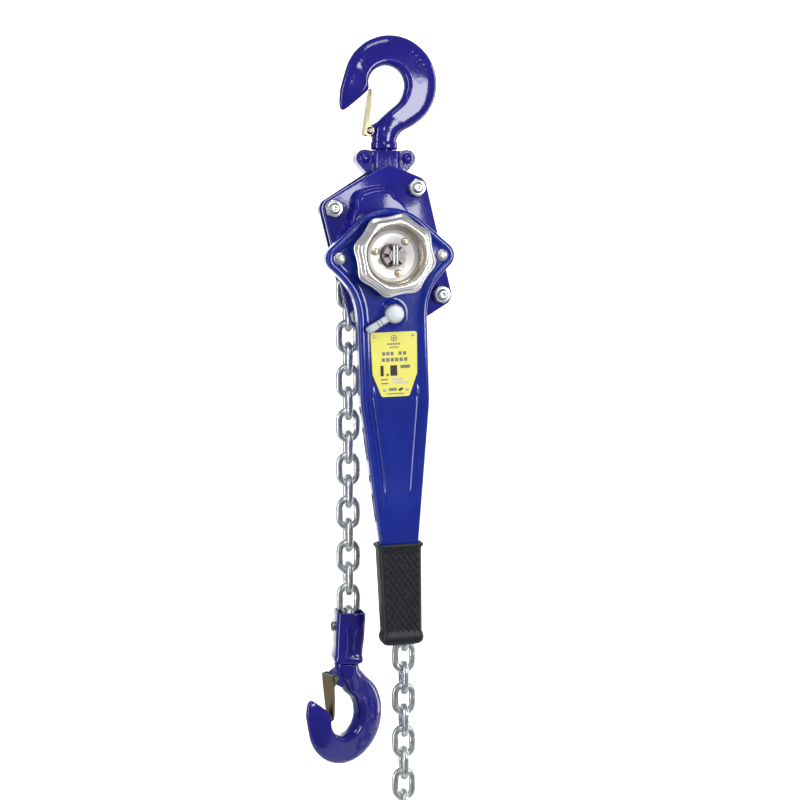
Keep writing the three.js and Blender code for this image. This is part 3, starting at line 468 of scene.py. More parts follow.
# heights between which beak_lift comes in
BEAK_TOP, BEAK_TIP = -24, -46.9
# degrees round the back and round the bowl where the hook is thickest
BOW = [(152, 172), (138, 152), (120, 130), (100, 102), (80, 82), (60, 58), (40, 35), (22, 15), (5, -2),
       (-12, -16)]
BOW_HALF = 10


def on_circle(place, degrees):
    x, y, radius = place
    return around(radius, radians(degrees), x, y)


def hook_stations(neck, heel, beak_lift):
    """Stations from the tip of the beak to the neck, whose sides are at neck and heel."""
    rows = []
    for x1, y1, x0, y0, half in BEAK:
        lift = beak_lift * max((min(y1, y0) - BEAK_TOP) / (BEAK_TIP - BEAK_TOP), 0)
        rows.append((x1 + lift * 0.35, y1 + lift, x0 + lift * 0.35, y0 + lift, half))
    rows.append((*on_circle(HOOK_BACK, 165), *on_circle(HOOK_BOWL, 193), 9.3))
    rows += [(*on_circle(HOOK_BACK, back), *on_circle(HOOK_BOWL, bowl), BOW_HALF) for back, bowl in BOW]
    return rows + [
        (*on_circle(HOOK_BACK, -27), 17, -32.5, 9.6),
        (*on_circle(HOOK_BACK, -42), 12.4, -39.2, 9.8),
        (*on_circle(HOOK_BACK, -60), 3.5, -46.6, 10.6),
        (heel + 7.2, -68.6, neck + 9.4, -56.3, 11.8),
        (heel + 2, -73.5, neck + 2.4, -65, 12.6),
        (heel - 0.6, -79, neck + 0.6, -77, 13),
    ]


def forged_hook(shank_x, collar_y, flange_y, beak_lift):
    """A hook from its beak to its round shank. A long shank also has a raised collar."""
    neck, heel = shank_x - 14.3, shank_x + 14.3
    collar = [(-0.3, collar_y + 1.2), (-0.8, collar_y + 0.3), (-1.8, collar_y)]
    if collar_y < -85:
        collar = [(-0.9, -80.1), (-0.9, -80.7), (0.1, -81.4), (0.3, -81.9), (0.3, collar_y + 2.6),
                  (0, collar_y + 1.2), *collar[1:]]
    collar_rows = [(heel + out, y, neck - out, y, 13.7 + out) for out, y in collar]
    full = HOOK_SECTION + [(u, -v) for u, v in reversed(HOOK_SECTION[1:-1])]
    rings = []
    for x1, y1, x0, y0, half in [*smooth_path(hook_stations(neck, heel, beak_lift), 5), *collar_rows]:
        roundness = min(max((-y1 - 62) / 14, 0), 1) if x1 < heel + 12 and y1 < -60 else 0
        ring = []
        for index, (u, v) in enumerate(full):
            round_u, round_v = around(1, pi * (1 - index / (len(HOOK_SECTION) - 1)))
            middle = (u + (round_u - u) * roundness + 1) / 2
            depth = v + (round_v - v) * roundness
            ring.append((x0 + (x1 - x0) * middle, y0 + (y1 - y0) * middle, half * depth))
        rings.append(ring)
    rows = [(9, collar_y + 4), (9, flange_y + 3.2), (11.6, flange_y + 3.2), (12.3, flange_y + 2.4),
            (12.3, flange_y - 3.2), (11.4, flange_y - 4)]
    along_shank = Matrix.Translation((shank_x, 0, 0)) @ Matrix.Rotation(-pi / 2, 4, "X")
    return merge(lofted(rings), transformed(turned(rows, 48), along_shank))


def latch_lug(latch_y):
    """The lug that carries the latch, with the pin's hole through it."""
    circles = [(LATCH_PIN_X, latch_y, 4.4), (-9, latch_y - 5, 5), (-7, latch_y + 6, 5)]
    return prism(wrapped(circles, 0, 12), -5.6, 5.6, [circle(LATCH_PIN_X, latch_y, 2.3, 24)])


def stamped_marks():
    """Small raised dots on the right limb, where a forging carries its marks."""
    x, y, _ = HOOK_BACK
    dots = []
    for row in range(3):
        for k in range(5):
            size = 1.1 + 0.25 * ((row * 5 + k * 3) % 3)
            dot = turned([(size, -0.8), (size * 0.9, 0.45), (size * 0.55, 0.95), (0, 1.1)], 14)
            place = around(31 + 4.4 * row, radians(60 - 8.5 * k - 2 * row), x, y)
            dots.append(shifted(dot, *place, 9.3 - 0.55 * row))
    return merge(*dots)


def channel_latch(latch_y, tip_place):
    """A pressed channel whose web closes the mouth and whose cheeks hold the pin."""
    foot, tip = Vector((-25.6, latch_y - 4.2)), Vector(tip_place)
    along = (tip - foot).normalized()
    inward = Vector((along.y, -along.x))
    wall, lip = 1.3, 2.4
    rings = []
    for t in [0, 0.03, 0.07, 0.12, 0.17, 0.22, 0.28, 0.36, 0.46, 0.58, 0.7, 0.82, 0.92, 0.97, 1]:
        base = foot.lerp(tip, t)
        half = 8.4 - 2.6 * max(t - 0.25, 0) / 0.75
        if t > 0.93:
            half -= 2.2 * ((t - 0.93) / 0.07) ** 2
        cheek = lip + 7.6 * max(1 - abs(t - 0.09) / 0.2, 0) ** 0.8
        deep = max(cheek, lip + 1.2 * sin(pi * min(t * 1.1, 1)))
        deep = max(deep * (1 - max(t - 0.9, 0) * 4), wall + 0.2)
        section = [(0, -half), (0, half), (deep, half), (deep, half - wall), (wall, half - wall),
                   (wall, wall - half), (deep, wall - half), (deep, -half)]
        rings.append([(base.x + inward.x * d, base.y + inward.y * d, z) for d, z in section])
    hole = circle(LATCH_PIN_X, latch_y, 2.3, 24)
    eye = circle(LATCH_PIN_X, latch_y, 4.3, 30)
    return merge(lofted(rings), prism(eye, 7.05, 8.4, [hole]), prism(eye, -8.4, -7.05, [hole]))


def add_hook(prefix, space, body, shank_x, collar_y, flange_y, latch_y, beak_lift, latch_tip, latch_look):
    painted = dict(space=space, body=body, slot="blue_paint")
    part(f"{prefix}_forging", forged_hook(shank_x, collar_y, flange_y, beak_lift), **painted,
         replaces=[f"{prefix}_hook"], sharp=50)
    part(f"{prefix}_hook_lug", latch_lug(latch_y), **painted, bevel=1)
    if prefix == "top":
        part("top_stamped_dots", stamped_marks(), **painted)
    part(f"{prefix}_latch_channel", channel_latch(latch_y, latch_tip), space, f"{body}_latch", "gold_zinc",
         latch_look, [f"{prefix}_latch"], bevel=0.35)
    pin = turned(both_ends([(0, -9.9), (2.2, -9.8), (2.9, -9.2), (2.9, -8.7), (1.9, -8.6)]), 24)
    part(f"{prefix}_latch_rivet", shifted(pin, LATCH_PIN_X, latch_y), space, body, "dark_steel",
         replaces=[f"{prefix}_latch_pin"])


add_hook("top", "seat", "hanger", SWIVEL_X, -89.6, -100, -69.5, 0, (-18.6, -24.6), SLOT_LOOKS["gold_zinc"])
add_hook("bottom", "hang", "load_hook", LOW_SHANK_X, -80, LOW_FLANGE_Y, -65, 5.5, (-16.8, -16.8), bronze)


# ---------- top yoke
EAR_X, EAR_Y, EAR_RADIUS = 23.4, -98.8, 9.2
YOKE_TOP, YOKE_SHOULDER = -90.6, -116
LOBE_RADIUS = 15.5
SEAM = 0.15


def yoke_half(front):
    """Half of the top yoke: a flat web with ears, and a raised middle that narrows downwards."""
    left = [(-17.2, YOKE_TOP)]
    left += [around(EAR_RADIUS, radians(75 + 140 * k / 12), -EAR_X, EAR_Y) for k in range(13)]
    left.append((-20.2, YOKE_SHOULDER))
    low = [around(LOBE_RADIUS, radians(165 + 210 * k / 16), 0, PIN_Y - 1) for k in range(17)]
    holes = [circle(0, PIN_Y, 7.3, 32), circle(-EAR_X, EAR_Y, 4, 20), circle(EAR_X, EAR_Y, 4, 20)]
    web = prism(left + low + flipped(left), SEAM, 9.5, holes)
    right = [(17, SEAM), (17.2, 6.8), (15.2, 9.6), (13.6, 12.8), (10.6, 15.7)]
    levels = [(YOKE_TOP, -1), (-91, -0.3), (-91.9, 0), (-112, 0), (-117, -0.6), (-121, -2.4), (-124, -5)]
    rings = []
    for y, grow in levels:
        ring = []
        for x, z in right + flipped(right):
            across = x + (grow if x > 0 else -grow)
            ring.append((across, y, max(z + min(grow, 0), SEAM) if z > 1 else z))
        rings.append(ring)
    shape = merge(web, lofted(rings))
    return shape if front else transformed(shape, Matrix.Rotation(pi, 4, "Y"))


def add_top_yoke():
    painted = dict(space="suspension", body="suspension_yoke", slot="blue_paint")
    for side in ("front", "rear"):
        part(f"top_yoke_{side}_forging", yoke_half(side == "front"), **painted, replaces=[f"top_yoke_{side}"],
             bevel=1.3)
    rivet = turned(both_ends([(0, 12.6), (2.6, 12.3), (4.6, 11.3), (5.8, 9.9), (5.9, 9.4), (3.9, 9.2)]), 32)
    for side, x in (("left", -EAR_X), ("right", EAR_X)):
        part(f"top_yoke_{side}_round_rivet", shifted(rivet, x, EAR_Y), **painted,
             replaces=[f"top_yoke_rivet_{side}"])


add_top_yoke()


# ---------- plates and covers
TOP_PIN = Matrix.Rotation(-FRAME_TILT, 2) @ Vector((SWIVEL_X - AXIS.x, PIN_Y - AXIS.y))
STAYS = [(-38.4, 60.5), (54.8, 61.1), (54.6, -56.3), (-39.2, -55.7)]
PLATE = [(-38.4, 60.5, 11), (-36.8, -58, 12.7), (7.9, -68, 16), (54.6, -56.3, 12.8), (54.8, 61.1, 12.8),
         (TOP_PIN.x, TOP_PIN.y, 23)]
PLATE_BACK = [(-34.4, 60.5, 11), (-32.8, -58, 12.7), *PLATE[2:]]
FLANGE_ROWS = [(1, 21.3), (0.5, 21.7), (0.5, 22.6), (0.8, 23.3), (1.7, 23.8)]
DOME_RADIUS, DOME_SIDES = 50, 288
DOME_ROWS = [(-2.8, 23.7), (-1.6, 24), (-0.7, 24.7), (-0.1, 26.4), (0.5, 30), (1, 35), (1.6, 38.6),
             (2.4, 40.9), (3.8, 42.7), (5.6, 43.7), (8, 44)]
THROAT = [(-4.5, 58, 14), (-4.5, 10, 14), (14.5, 10, 14), (14.5, 57.5, 14)]
CASE_ROWS = [(-3.8, -23.7), (-2, -24.2), (-0.6, -25.4), (0, -27.4), (0, -48.5), (0.5, -51.6), (1.9, -53.9),
             (4, -55.4), (6.6, -56)]
PLATE_NEAR, PLATE_FAR = 17, 21
GEAR_Y = 33.6
PAWL_RING = 42
PAWL_ANGLES = [radians(35), radians(215)]


def dome_outline(inset):
    """The round cover and its straight throat as one outline, its inner corners eased."""
    throat = np.array(wrapped(THROAT, inset, 20))
    x0, y0 = 6, 26
    angles = np.arctan2(throat[:, 1] - y0, throat[:, 0] - x0)
    order = np.argsort(angles)
    turns = 2 * pi * np.arange(DOME_SIDES) / DOME_SIDES - pi
    reach = np.interp(turns, angles[order], np.hypot(throat[:, 0] - x0, throat[:, 1] - y0)[order],
                      period=2 * pi)
    dot = x0 * np.cos(turns) + y0 * np.sin(turns)
    round_reach = -dot + np.sqrt(dot * dot + (DOME_RADIUS - inset) ** 2 - x0 * x0 - y0 * y0)
    corner, ease = 2.2, 0.55
    longer = np.maximum(reach, round_reach)
    blended = corner * np.log(np.exp(reach / corner) + np.exp(round_reach / corner))
    return [around(r, a, x0, y0) for r, a in zip(longer + ease * (blended - longer), turns)]


def add_frame():
    casing = dict(space="frame", body="housing", slot="blue_paint", look=cover_blue)
    holes = [circle(0, 0, 17.2, 64)] + [circle(x, y, 5.2, 24) for x, y in STAYS]
    gear_holes = [circle(0, GEAR_Y, 5.3, 24), circle(0, -GEAR_Y, 5.3, 24)]
    post = turned([(2.6, 20.5), (2.6, 36.9), (2.2, 37.3), (0, 37.3)], 20)
    posts = [shifted(post, *around(PAWL_RING, angle)) for angle in PAWL_ANGLES]
    front = prism(wrapped(PLATE, 0, 20), PLATE_NEAR, PLATE_FAR, holes)
    part("front_plate", merge(front, *posts), **casing, replaces=["front_side_plate"], bevel=0.9)
    rear = prism(wrapped(PLATE_BACK, 0, 20), -PLATE_FAR, -PLATE_NEAR, holes + gear_holes)
    part("rear_plate", rear, **casing, replaces=["rear_side_plate"], bevel=0.9)
    part("brake_cover_flange", stepped(PLATE, FLANGE_ROWS, 20), **casing, replaces=["brake_cover"], sharp=60)
    rings = [[(x, y, z) for x, y in dome_outline(inset)] for inset, z in DOME_ROWS]
    part("brake_cover_dome", lofted(rings), **casing, sharp=75)
    back_rows = [(inset, -z) for inset, z in FLANGE_ROWS]
    part("gear_case_flange", stepped(PLATE_BACK, back_rows, 20), **casing, replaces=["gear_case"], sharp=60)
    part("gear_case_pan", stepped([(0, GEAR_Y, 32), (0, -GEAR_Y, 32)], CASE_ROWS, 30), **casing, sharp=75)


def stud_end(z):
    """The rounded end of a stud whose tip is at z, as (radius, z) rows."""
    return [(5, z - 2.2), (4.75, z - 1), (4.1, z - 0.25), (3.2, z), (2.2, z - 0.15), (1.5, z - 0.8),
            (0, z - 1.1)]


def add_fasteners():
    zinced = dict(space="frame", body="housing", slot="zinc")
    head_across, nut_across = 13, 17
    share = head_across / nut_across
    caps = [(-24.1, 9.9), (-29.5, 9.9), (-30.45, 9.05), (-31, 8.1)]
    head = lofted(hexagon_rings(head_across, [(z, cap * share) for z, cap in caps]))
    bolt = merge(turned([(5, -24), (5, -16.8), (5, 16.8), *stud_end(36.1)], 32), head)
    for i, place in enumerate(STAYS[:3]):
        part(f"stay_bolt_{i + 1}_body", shifted(bolt, *place), **zinced, replaces=[f"stay_bolt_{i + 1}"],
             sharp=30)
    stud = turned([(5, 17.1), *stud_end(36.1)], 32)
    part("cover_stud_body", shifted(stud, *STAYS[3]), **zinced, replaces=["cover_stud"], sharp=30)
    screw = merge(turned([(5, -24.5), (5, -17.1)], 32), head)
    part("gear_case_screw_body", shifted(screw, *STAYS[3]), **zinced, replaces=["gear_case_screw"], sharp=30)
    caps = [(24.1, 8.3), (24.6, 9.3), (25.2, 9.9), (31.4, 9.9), (32.3, 9.1), (32.8, 8.2)]
    rings = hexagon_rings(nut_across, caps)
    bore = [(8, 32.8), (7.4, 33.05), (6.3, 33.1), (5.5, 32.6), (5.3, 31.6), (5.3, 24.1)]
    rings += [[(*point, z) for point in circle(0, 0, radius, HEX_SIDES)] for radius, z in bore]
    nut = lofted(rings, closed_loop=True)
    for i, place in enumerate(STAYS):
        part(f"stay_nut_{i + 1}_body", shifted(nut, *place), **zinced, replaces=[f"stay_nut_{i + 1}"],
             sharp=28)


add_frame()
add_fasteners()


# ---------- hand wheel, nut and split pin
WHEEL_LOBES = 8
FIRST_LOBE = radians(33)
WHEEL_BACK = [(13.2, 77), (27, 77), (29.4, 78.6), (30.8, 82), (31.6, 87, 0.1)]
WHEEL_RIM = [
    (33.2, 92.5, 0.3), (34.6, 92.2, 0.6), (36.6, 89.6, 1.1), (39.2, 88.1, 1.5), (41.2, 87.9, 1.7),
    (42.1, 88.6, 1.75), (42, 89.5, 1.7), (40.6, 90.6, 1.55), (38.6, 92, 1.3), (37.7, 93.8, 1.15),
    (37.7, 95.6, 1.15), (37.3, 97.4, 1.15), (36.3, 98.8, 1.1), (35, 99.7, 0.95), (33.6, 99.95, 0.6),
    (32.5, 99.6, 0.2), (31.7, 98.6, 0), (31.2, 96.6, 0),
]
WHEEL_RECESS = [
    (30.5, 89.6), (29.9, 88.7), (28.8, 88.3), (28.2, 87.6), (27.8, 83.4), (27, 82.2), (25.6, 81.6),
    (24.6, 80.9), (23.6, 80.2), (22.6, 80), (13.9, 80), (13.2, 79.6),
]
RECESS_FLOOR, RECESS_EDGE, RECESS_DEPTH = 27, 31, 79.5


def lobes(angle):
    """How far the wheel's rim swells at an angle, from about -1 to 1."""
    phase = WHEEL_LOBES * (angle - FIRST_LOBE)
    return cos(phase) + 0.12 * cos(2 * phase)


def add_wheel():
    rows = WHEEL_BACK + [tuple(row) for row in smooth_path(WHEEL_RIM, 4)] + WHEEL_RECESS
    wheel = part("hand_wheel_body", turned(rows, 240, lobes, closed=True), "shaft", "free_wheel", "chrome",
                 replaces=["hand_wheel"], sharp=50)
    wheel.data.materials.append(satin)
    wheel.data.materials.append(brown_reflection_chrome)
    to_shaft = SPACES["shaft"].inverted()
    # the recess floor gets satin nickel; the recess wall gets the chrome with the painted brown reflection
    for face in wheel.data.polygons:
        middle = to_shaft @ face.center
        reach = hypot(middle.x, middle.y)
        if middle.z > RECESS_DEPTH and reach < RECESS_EDGE:
            face.material_index = 1 if reach < RECESS_FLOOR else 2
    head = screw_head(4.1, 80.1, 1.1, 1.2, 2.3, 0.5, 1.2, 32)
    for i, degrees in enumerate((48, 168, 288)):
        place = around(19.5, radians(degrees))
        part(f"wheel_screw_{i + 1}_head", shifted(spun(head, 0.5 + i), *place), "shaft", "free_wheel",
             "gold_zinc", pale_gold, [f"wheel_screw_{i + 1}"])


def add_castle_nut():
    base = turned([(6.9, 75.8), (11.6, 75.8), (12.3, 76.5), (12.3, 84), (6.9, 84)], 72, closed=True)
    crown = []
    for i in range(6):
        outer = [around(12.1, radians(60 * i + 12 + 4.5 * k)) for k in range(9)]
        inner = [around(7, radians(60 * i + 48 - 4.5 * k)) for k in range(9)]
        crown.append(prism(outer + inner, 83.6, 91))
    part("castle_nut_body", merge(base, *crown), "shaft", "drive_shaft", "dark_steel", nut_steel,
         ["castle_nut"], bevel=0.5)
    leg = [(1.3, 11.4, 87.4), (1.3, 11.6, 90), (1.4, 10.6, 92), (1.7, 8, 92.6)]
    bent = [*leg, (1.9, 0, 92.4), *[(x, -y, z) for x, y, z in reversed(leg)]]
    wire = [tube(smooth_path([(side * x, y, z) for x, y, z in bent], 5), 1.15) for side in (-1, 1)]
    through = tube([(0, -12.4, 87.5), (0, 12.4, 87.5)], 1.6, 16)
    part("split_pin", merge(*wire, through), "shaft", "drive_shaft", "zinc", replaces=["cotter_pin"])


add_wheel()
add_castle_nut()


# ---------- lever
HEAD_RADIUS = 50.4
EAR = (55, -1.4, 14.7)
KNOB_Y = -60.5
EDGE_STEPS = (0, 0.35, 0.8, 1.3, 1.9, 2.6, 3.4, 4.3, 5.2, 6, 6.8, 7.6, 8.4, 9.4, 10.6, 11.6, 12.4, 13,
              13.6, 14.2, 14.8, 15.6, 16.6)
# distance in from the edge, and how far the face lies below its highest level there
DISHED = ([0, 0.35, 0.9, 1.8, 3, 4.2, 5.4, 6.4, 7.3, 8.2, 9.2, 10.6, 15],
          [4.6, 2.9, 1.5, 0.5, 0.05, 0, 0.15, 0.6, 1.35, 2.15, 2.65, 2.85, 2.9])
CROWNED = ([0, 0.4, 1.1, 2.2, 4, 8, 20], [4.6, 2.7, 1.35, 0.6, 0.25, 0.1, 0])


def lever_outline():
    """The right half of the lever's outline, from the top of the head down."""
    x, y, radius = EAR
    lean = asin((HEAD_RADIUS - radius) / hypot(x, y))
    points = [around(HEAD_RADIUS, pi / 2 - lean * k / 39) for k in range(40)]
    start, end = pi / 2 - lean + radians(1), radians(-56)
    points += [around(radius, start + (end - start) * k / 39, x, y) for k in range(40)]
    a, b = Vector((x + radius * 0.55, y - radius * 0.84)), Vector((50, -27))
    c, d = Vector((37.8, -38)), Vector((37.8, -68))
    for k in range(1, 31):
        t = k / 30
        s = 1 - t
        points.append(tuple(a * s ** 3 + b * 3 * t * s ** 2 + c * 3 * t * t * s + d * t ** 3))
    points += [(37.8, -151), (37.4, -158), (21.9, -302), (21.6, -305), (19, -402)]
    return np.array(points)


OUTLINE = lever_outline()


def half_width(v):
    """Half the lever's width at height v."""
    best = 0
    for (x0, y0), (x1, y1) in zip(OUTLINE[:-1], OUTLINE[1:]):
        if min(y0, y1) <= v <= max(y0, y1):
            t = 0 if abs(y1 - y0) < 1e-9 else (v - y0) / (y1 - y0)
            best = max(best, x0 + t * (x1 - x0))
    return best


def edge_distance(x, y):
    """Distance from points to the outline, for both sides."""
    x = np.abs(x)
    best = np.full(x.shape, 1e9)
    for (x0, y0), (x1, y1) in zip(OUTLINE[:-1], OUTLINE[1:]):
        dx, dy = x1 - x0, y1 - y0
        t = np.clip(((x - x0) * dx + (y - y0) * dy) / max(dx * dx + dy * dy, 1e-9), 0, 1)
        best = np.minimum(best, np.hypot(x - x0 - t * dx, y - y0 - t * dy))
    return best


def fade(value, start, end):
    """0 before start, 1 after end and a smooth step in between."""
    t = np.clip((value - start) / (end - start), 0, 1)
    return t * t * (3 - 2 * t)


def lever_row(half):
    """Places across the lever: fixed steps in from both edges, so that its beads run along the mesh."""
    right = [half - step * min(half / 24, 1) for step in EDGE_STEPS]
    middle = list(np.linspace(-right[-1], right[-1], 33)[1:-1])
    return [-place for place in right] + middle + right[::-1]


def lever_face(front, far, x, y):
    """Depths of a pressed half: dished along its edges, crowned under the grip and behind the head."""
    dished, crowned = np.interp(far, *DISHED), np.interp(far, *CROWNED)
    low = fade(-y, 222, 286)
    if front:
        ridge = 2.1 * np.exp(-((far - 13.6) / 1.15) ** 2) * fade(-y, 136, 152) * (1 - fade(-y, 244, 262))
        boss = 2.3 * (1 - fade(np.hypot(x, y - KNOB_Y), 11.2, 14.5))
        depth = dished * (1 - low) + crowned * low - ridge - boss * (dished > 1.5)
        return 74 - np.interp(-y, [165, 300], [0, 2.5]) - np.maximum(depth, 0)
    handle = fade(-y, 62, 84)
    back = dished * handle + crowned * (1 - handle)
    return 46.6 + np.interp(-y, [165, 300], [0, 4.4]) + back * (1 - low) + crowned * low


def lever_shell(front):
    """One pressed half of the lever as an open sheet: its face and the wall round it."""
    heights = [50.38, 50.2, 49.8, 49.1, 48.2, 47, 45.5, 43.8, 42, *np.arange(40, -75, -1.9),
               *np.arange(-75, -330, -2.5), -340, -360, -380, -401.5]
    hole, draft, seam = (14.6, 0.7, 60.3) if front else (31.3, 2.6, 60)
    wide = np.array([half_width(v) for v in heights])
    foot = np.array([lever_row(half) for half in wide])
    rows, columns = foot.shape
    y = np.repeat(np.array(heights)[:, None], columns, axis=1)
    far = edge_distance(foot, y)
    far[:, 0] = far[:, -1] = 0
    radius = np.maximum(np.hypot(foot, y), 0.1)
    to_hole = np.where(np.abs(radius - hole) < 1.05, hole / radius, 1)
    x = foot * to_hole * (1 - draft / np.maximum(wide, 12)[:, None])
    y = y * to_hole
    y = np.where(y > 30, y - draft * (y - 30) / 20, y)
    points = list(zip(x.flat, y.flat, lever_face(front, far, x, y).flat))
    faces = []
    for face in grid_faces(rows, columns):
        middle = np.mean([points[index][:2] for index in face], axis=0)
        if hypot(*middle) >= hole - 0.05:
            faces.append(face)
    border = grid_border(rows, columns)
    add_wall(points, faces, border, [(foot.flat[index], heights[index // columns], seam) for index in border])
    if not front:
        faces = [tuple(reversed(face)) for face in faces]
    used = sorted({index for face in faces for index in face})
    renumber = {index: new for new, index in enumerate(used)}
    return [points[i] for i in used], [tuple(renumber[i] for i in face) for face in faces]


def rounded_section(half, deep, corner, along_face, bend, along_side):
    """Points and outward directions round a rounded rectangle, from the front face's left end."""
    a, b = half - corner, deep - corner
    corners = [(-a, b), (a, b), (a, -b), (-a, -b)]
    points, out = [], []
    for side in range(4):
        (x0, y0), (x1, y1) = corners[side], corners[(side + 1) % 4]
        facing = pi / 2 * (1 - side)
        steps = along_side if side % 2 else along_face
        for k in range(steps):
            points.append(around(corner, facing, x0 + (x1 - x0) * k / steps, y0 + (y1 - y0) * k / steps))
            out.append(around(1, facing))
        for k in range(bend):
            points.append(around(corner, facing - pi / 2 * k / bend, x1, y1))
            out.append(around(1, facing - pi / 2 * k / bend))
    return points, out


def grip_sleeve():
    """The grip: a collar, a long body with a raised diamond pattern, and a rounded end."""
    rows = [(-322, 20.6, 12), (-307, 21.6, 12.6), (-304.4, 22, 12.9), (-303.8, 23, 13.6),
            (-304.2, 24.4, 14.6), (-305.4, 25.1, 15.1), (-307, 25.1, 15.1), (-308.4, 24.3, 14.4),
            (-309.4, 23.4, 13.8), (-310.6, 23.2, 13.5)]
    for v in np.arange(-311, -400, -0.72):
        share = (v + 310) / 90
        rows.append((v, 23.2 + 2 * share, 13.5 + 0.9 * share))
    rows += [(-400.5, 21.8, 12.9), (-402, 22.2, 13.2), (-404, 22.7, 13.6), (-406.5, 22.8, 13.6),
             (-409, 22.3, 13.1), (-411.3, 21.1, 12), (-412.9, 19.3, 10.2), (-413.8, 16.6, 7.6),
             (-414, 12, 4.5)]
    wide, high, line = 6.3, 9.6, 0.085
    rings = []
    for v, half, deep in rows:
        section, out = rounded_section(half, deep, min(6.2, deep - 0.6), 62, 9, 6)
        panel = fade(-v, 311, 315) * (1 - fade(-v, 396, 401))
        ring = []
        for (x, z), (out_x, out_z) in zip(section, out):
            lift = 0
            if out_z in (1, -1) and panel > 0:
                a, b = (x / wide + v / high) % 1, (x / wide - v / high) % 1
                ridge = max(exp(-((a - 0.5) / line) ** 2), exp(-((b - 0.5) / line) ** 2))
                lift = panel * (1 - fade(abs(x), half - 6.4, half - 5.6)) * (1.25 * ridge - 1)
            ring.append((x + out_x * lift, v, 61.2 + z + out_z * lift))
        rings.append(ring)
    return lofted(rings)


def knob():
    """The change-over knob: a round disc on its post and a ribbed arm."""
    disc = turned([(0, 84), (7.6, 84), (8.9, 83.7), (9.6, 82.9), (9.9, 81.6), (9.9, 77), (9.6, 75.4),
                   (9, 74.6), (5, 74.5), (5, 49.6), (0, 49.6)], 64)
    rows = [(4, 3.9, 82.6), (9, 3.8, 82.4), (11, 3.75, 82.2), (16.4, 3.7, 82), (16.8, 3.4, 80.9),
            (17.6, 3.4, 80.9), (18, 3.7, 82), (20, 3.75, 82), (20.4, 3.45, 80.9), (21.2, 3.45, 80.9),
            (21.6, 3.8, 82), (29, 4, 81.8), (32, 3.8, 81.5, 77.2), (33.8, 3, 81.1, 77.6),
            (34.6, 1.8, 80.6, 78.2)]
    rings = []
    for reach, half, top, *raised in rows:
        side = [(half, *(raised or [77])), (half, top - 0.8), (half - 0.8, top)]
        rings.append([(reach, y, z) for y, z in side + flipped(side)])
    arm = spun(lofted(rings), radians(210))
    return shifted(merge(disc, arm), 0, KNOB_Y)


def plate_prints():
    """Plain bars, a ring and blocks in place of printing."""
    ink = (72.3, 72.42)

    def bar(x, y, wide, high, turn=0):
        corners = [(-wide / 2, -high / 2), (wide / 2, -high / 2), (wide / 2, high / 2), (-wide / 2, high / 2)]
        return shifted(spun(prism(corners, *ink), turn), x, y)

    grey = [prism(circle(0, -86.4, 3.3, 40), *ink, [circle(0, -86.4, 2.5, 40)]),
            prism(circle(0, -86.4, 1.3, 24), *ink)]
    for y, high, places in ((-92.3, 2, (-6, -3.2, -0.4, 2.4, 5.2)),
                            (-95.8, 1.6, (-3.6, -1.2, 1.2, 3.6)),
                            (-102.3, 3.6, (-11.5, -7, -2.5, 6.2, 11)),
                            (-108.8, 3.8, (-12, -7.2, -2.4, 2.4, 7.2, 12))):
        grey += [bar(x, y, (places[1] - places[0]) * 0.72, high) for x in places]
    grey += [bar(11.4, -116.4, 10.4, 3.4), bar(-11.5, -129.6, 7.6, 1.3), bar(-11.2, -133.6, 7.6, 1.3),
             bar(0, -144.6, 19, 1.1), bar(-2.8, -140, 8.4, 3)]
    black = [bar(-13.8, -120.2, 3.4, 11), bar(-8, -124.6, 2.2, 2.2), bar(-1.2, -120.2, 7.4, 11),
             bar(5.8, -140.2, 4.6, 2.6, turn=0.5)]
    pale = [bar(2.4, -129.4, 12, 2.4), bar(6.4, -133.2, 15, 2.4)]
    return merge(*grey), merge(*black), merge(*pale)


def nameplate_outline():
    left = [(-24.4, -79.8, 2.6), (-24.4, -124.8, 3), (-14.2, -148.2, 3)]
    places = []
    for x, y, radius in [*left, *[(-x, y, radius) for x, y, radius in reversed(left)]]:
        towards = Vector((-x, -112 - y)).normalized() * radius * 1.25
        places.append((x + towards.x, y + towards.y, radius))
    return wrapped(places, 0, 8)


def add_lever():
    on_lever = dict(space="lever", body="operating_lever")
    for side in ("front", "rear"):
        part(f"lever_{side}_pressing", lever_shell(side == "front"), **on_lever, slot="lever_paint",
             replaces=[f"lever_{side}_shell"], wall=1.6, sharp=60)
    head = merge(screw_head(6.4, 71.4, 1.7, 1.9, 3.9, 0.75, 1.9, 40),
                 turned([(3, 47), (3, 71.6)], 20),
                 turned([(5.6, 44.6), (6.2, 45.2), (6.2, 46.4)], 32))
    x, y, _ = EAR
    for side, place, turn in (("left", -x, 0.35), ("right", x, 0.9)):
        part(f"lever_screw_{side}_body", shifted(spun(head, turn), place, y), **on_lever, slot="zinc",
             replaces=[f"lever_screw_{side}"])
    part("grip_sleeve", grip_sleeve(), **on_lever, slot="black_rubber", replaces=["grip"], sharp=80)
    part("selector_casting", knob(), "lever", "selector", "cast_metal", replaces=["selector_knob"], bevel=0.5,
         sharp=40)
    part("nameplate_sheet", prism(nameplate_outline(), 71.5, 72.3), **on_lever, slot="yellow_plate",
         replaces=["nameplate"], bevel=0.25)
    for name, shape, look in zip(("grey", "black", "pale"), plate_prints(), (grey_ink, black_ink, pale_ink)):
        part(f"nameplate_{name}_marks", shape, **on_lever, slot="yellow_plate", look=look)
    rivet = turned([(1.7, 72.2), (1.6, 72.6), (1.1, 73), (0, 73.15)], 20)
    places = [(-20.6, -83.8), (20.6, -83.4), (-11.8, -140.6), (12.4, -140.4)]
    part("nameplate_rivets", merge(*[shifted(rivet, *place) for place in places]), **on_lever, slot="zinc")


add_lever()


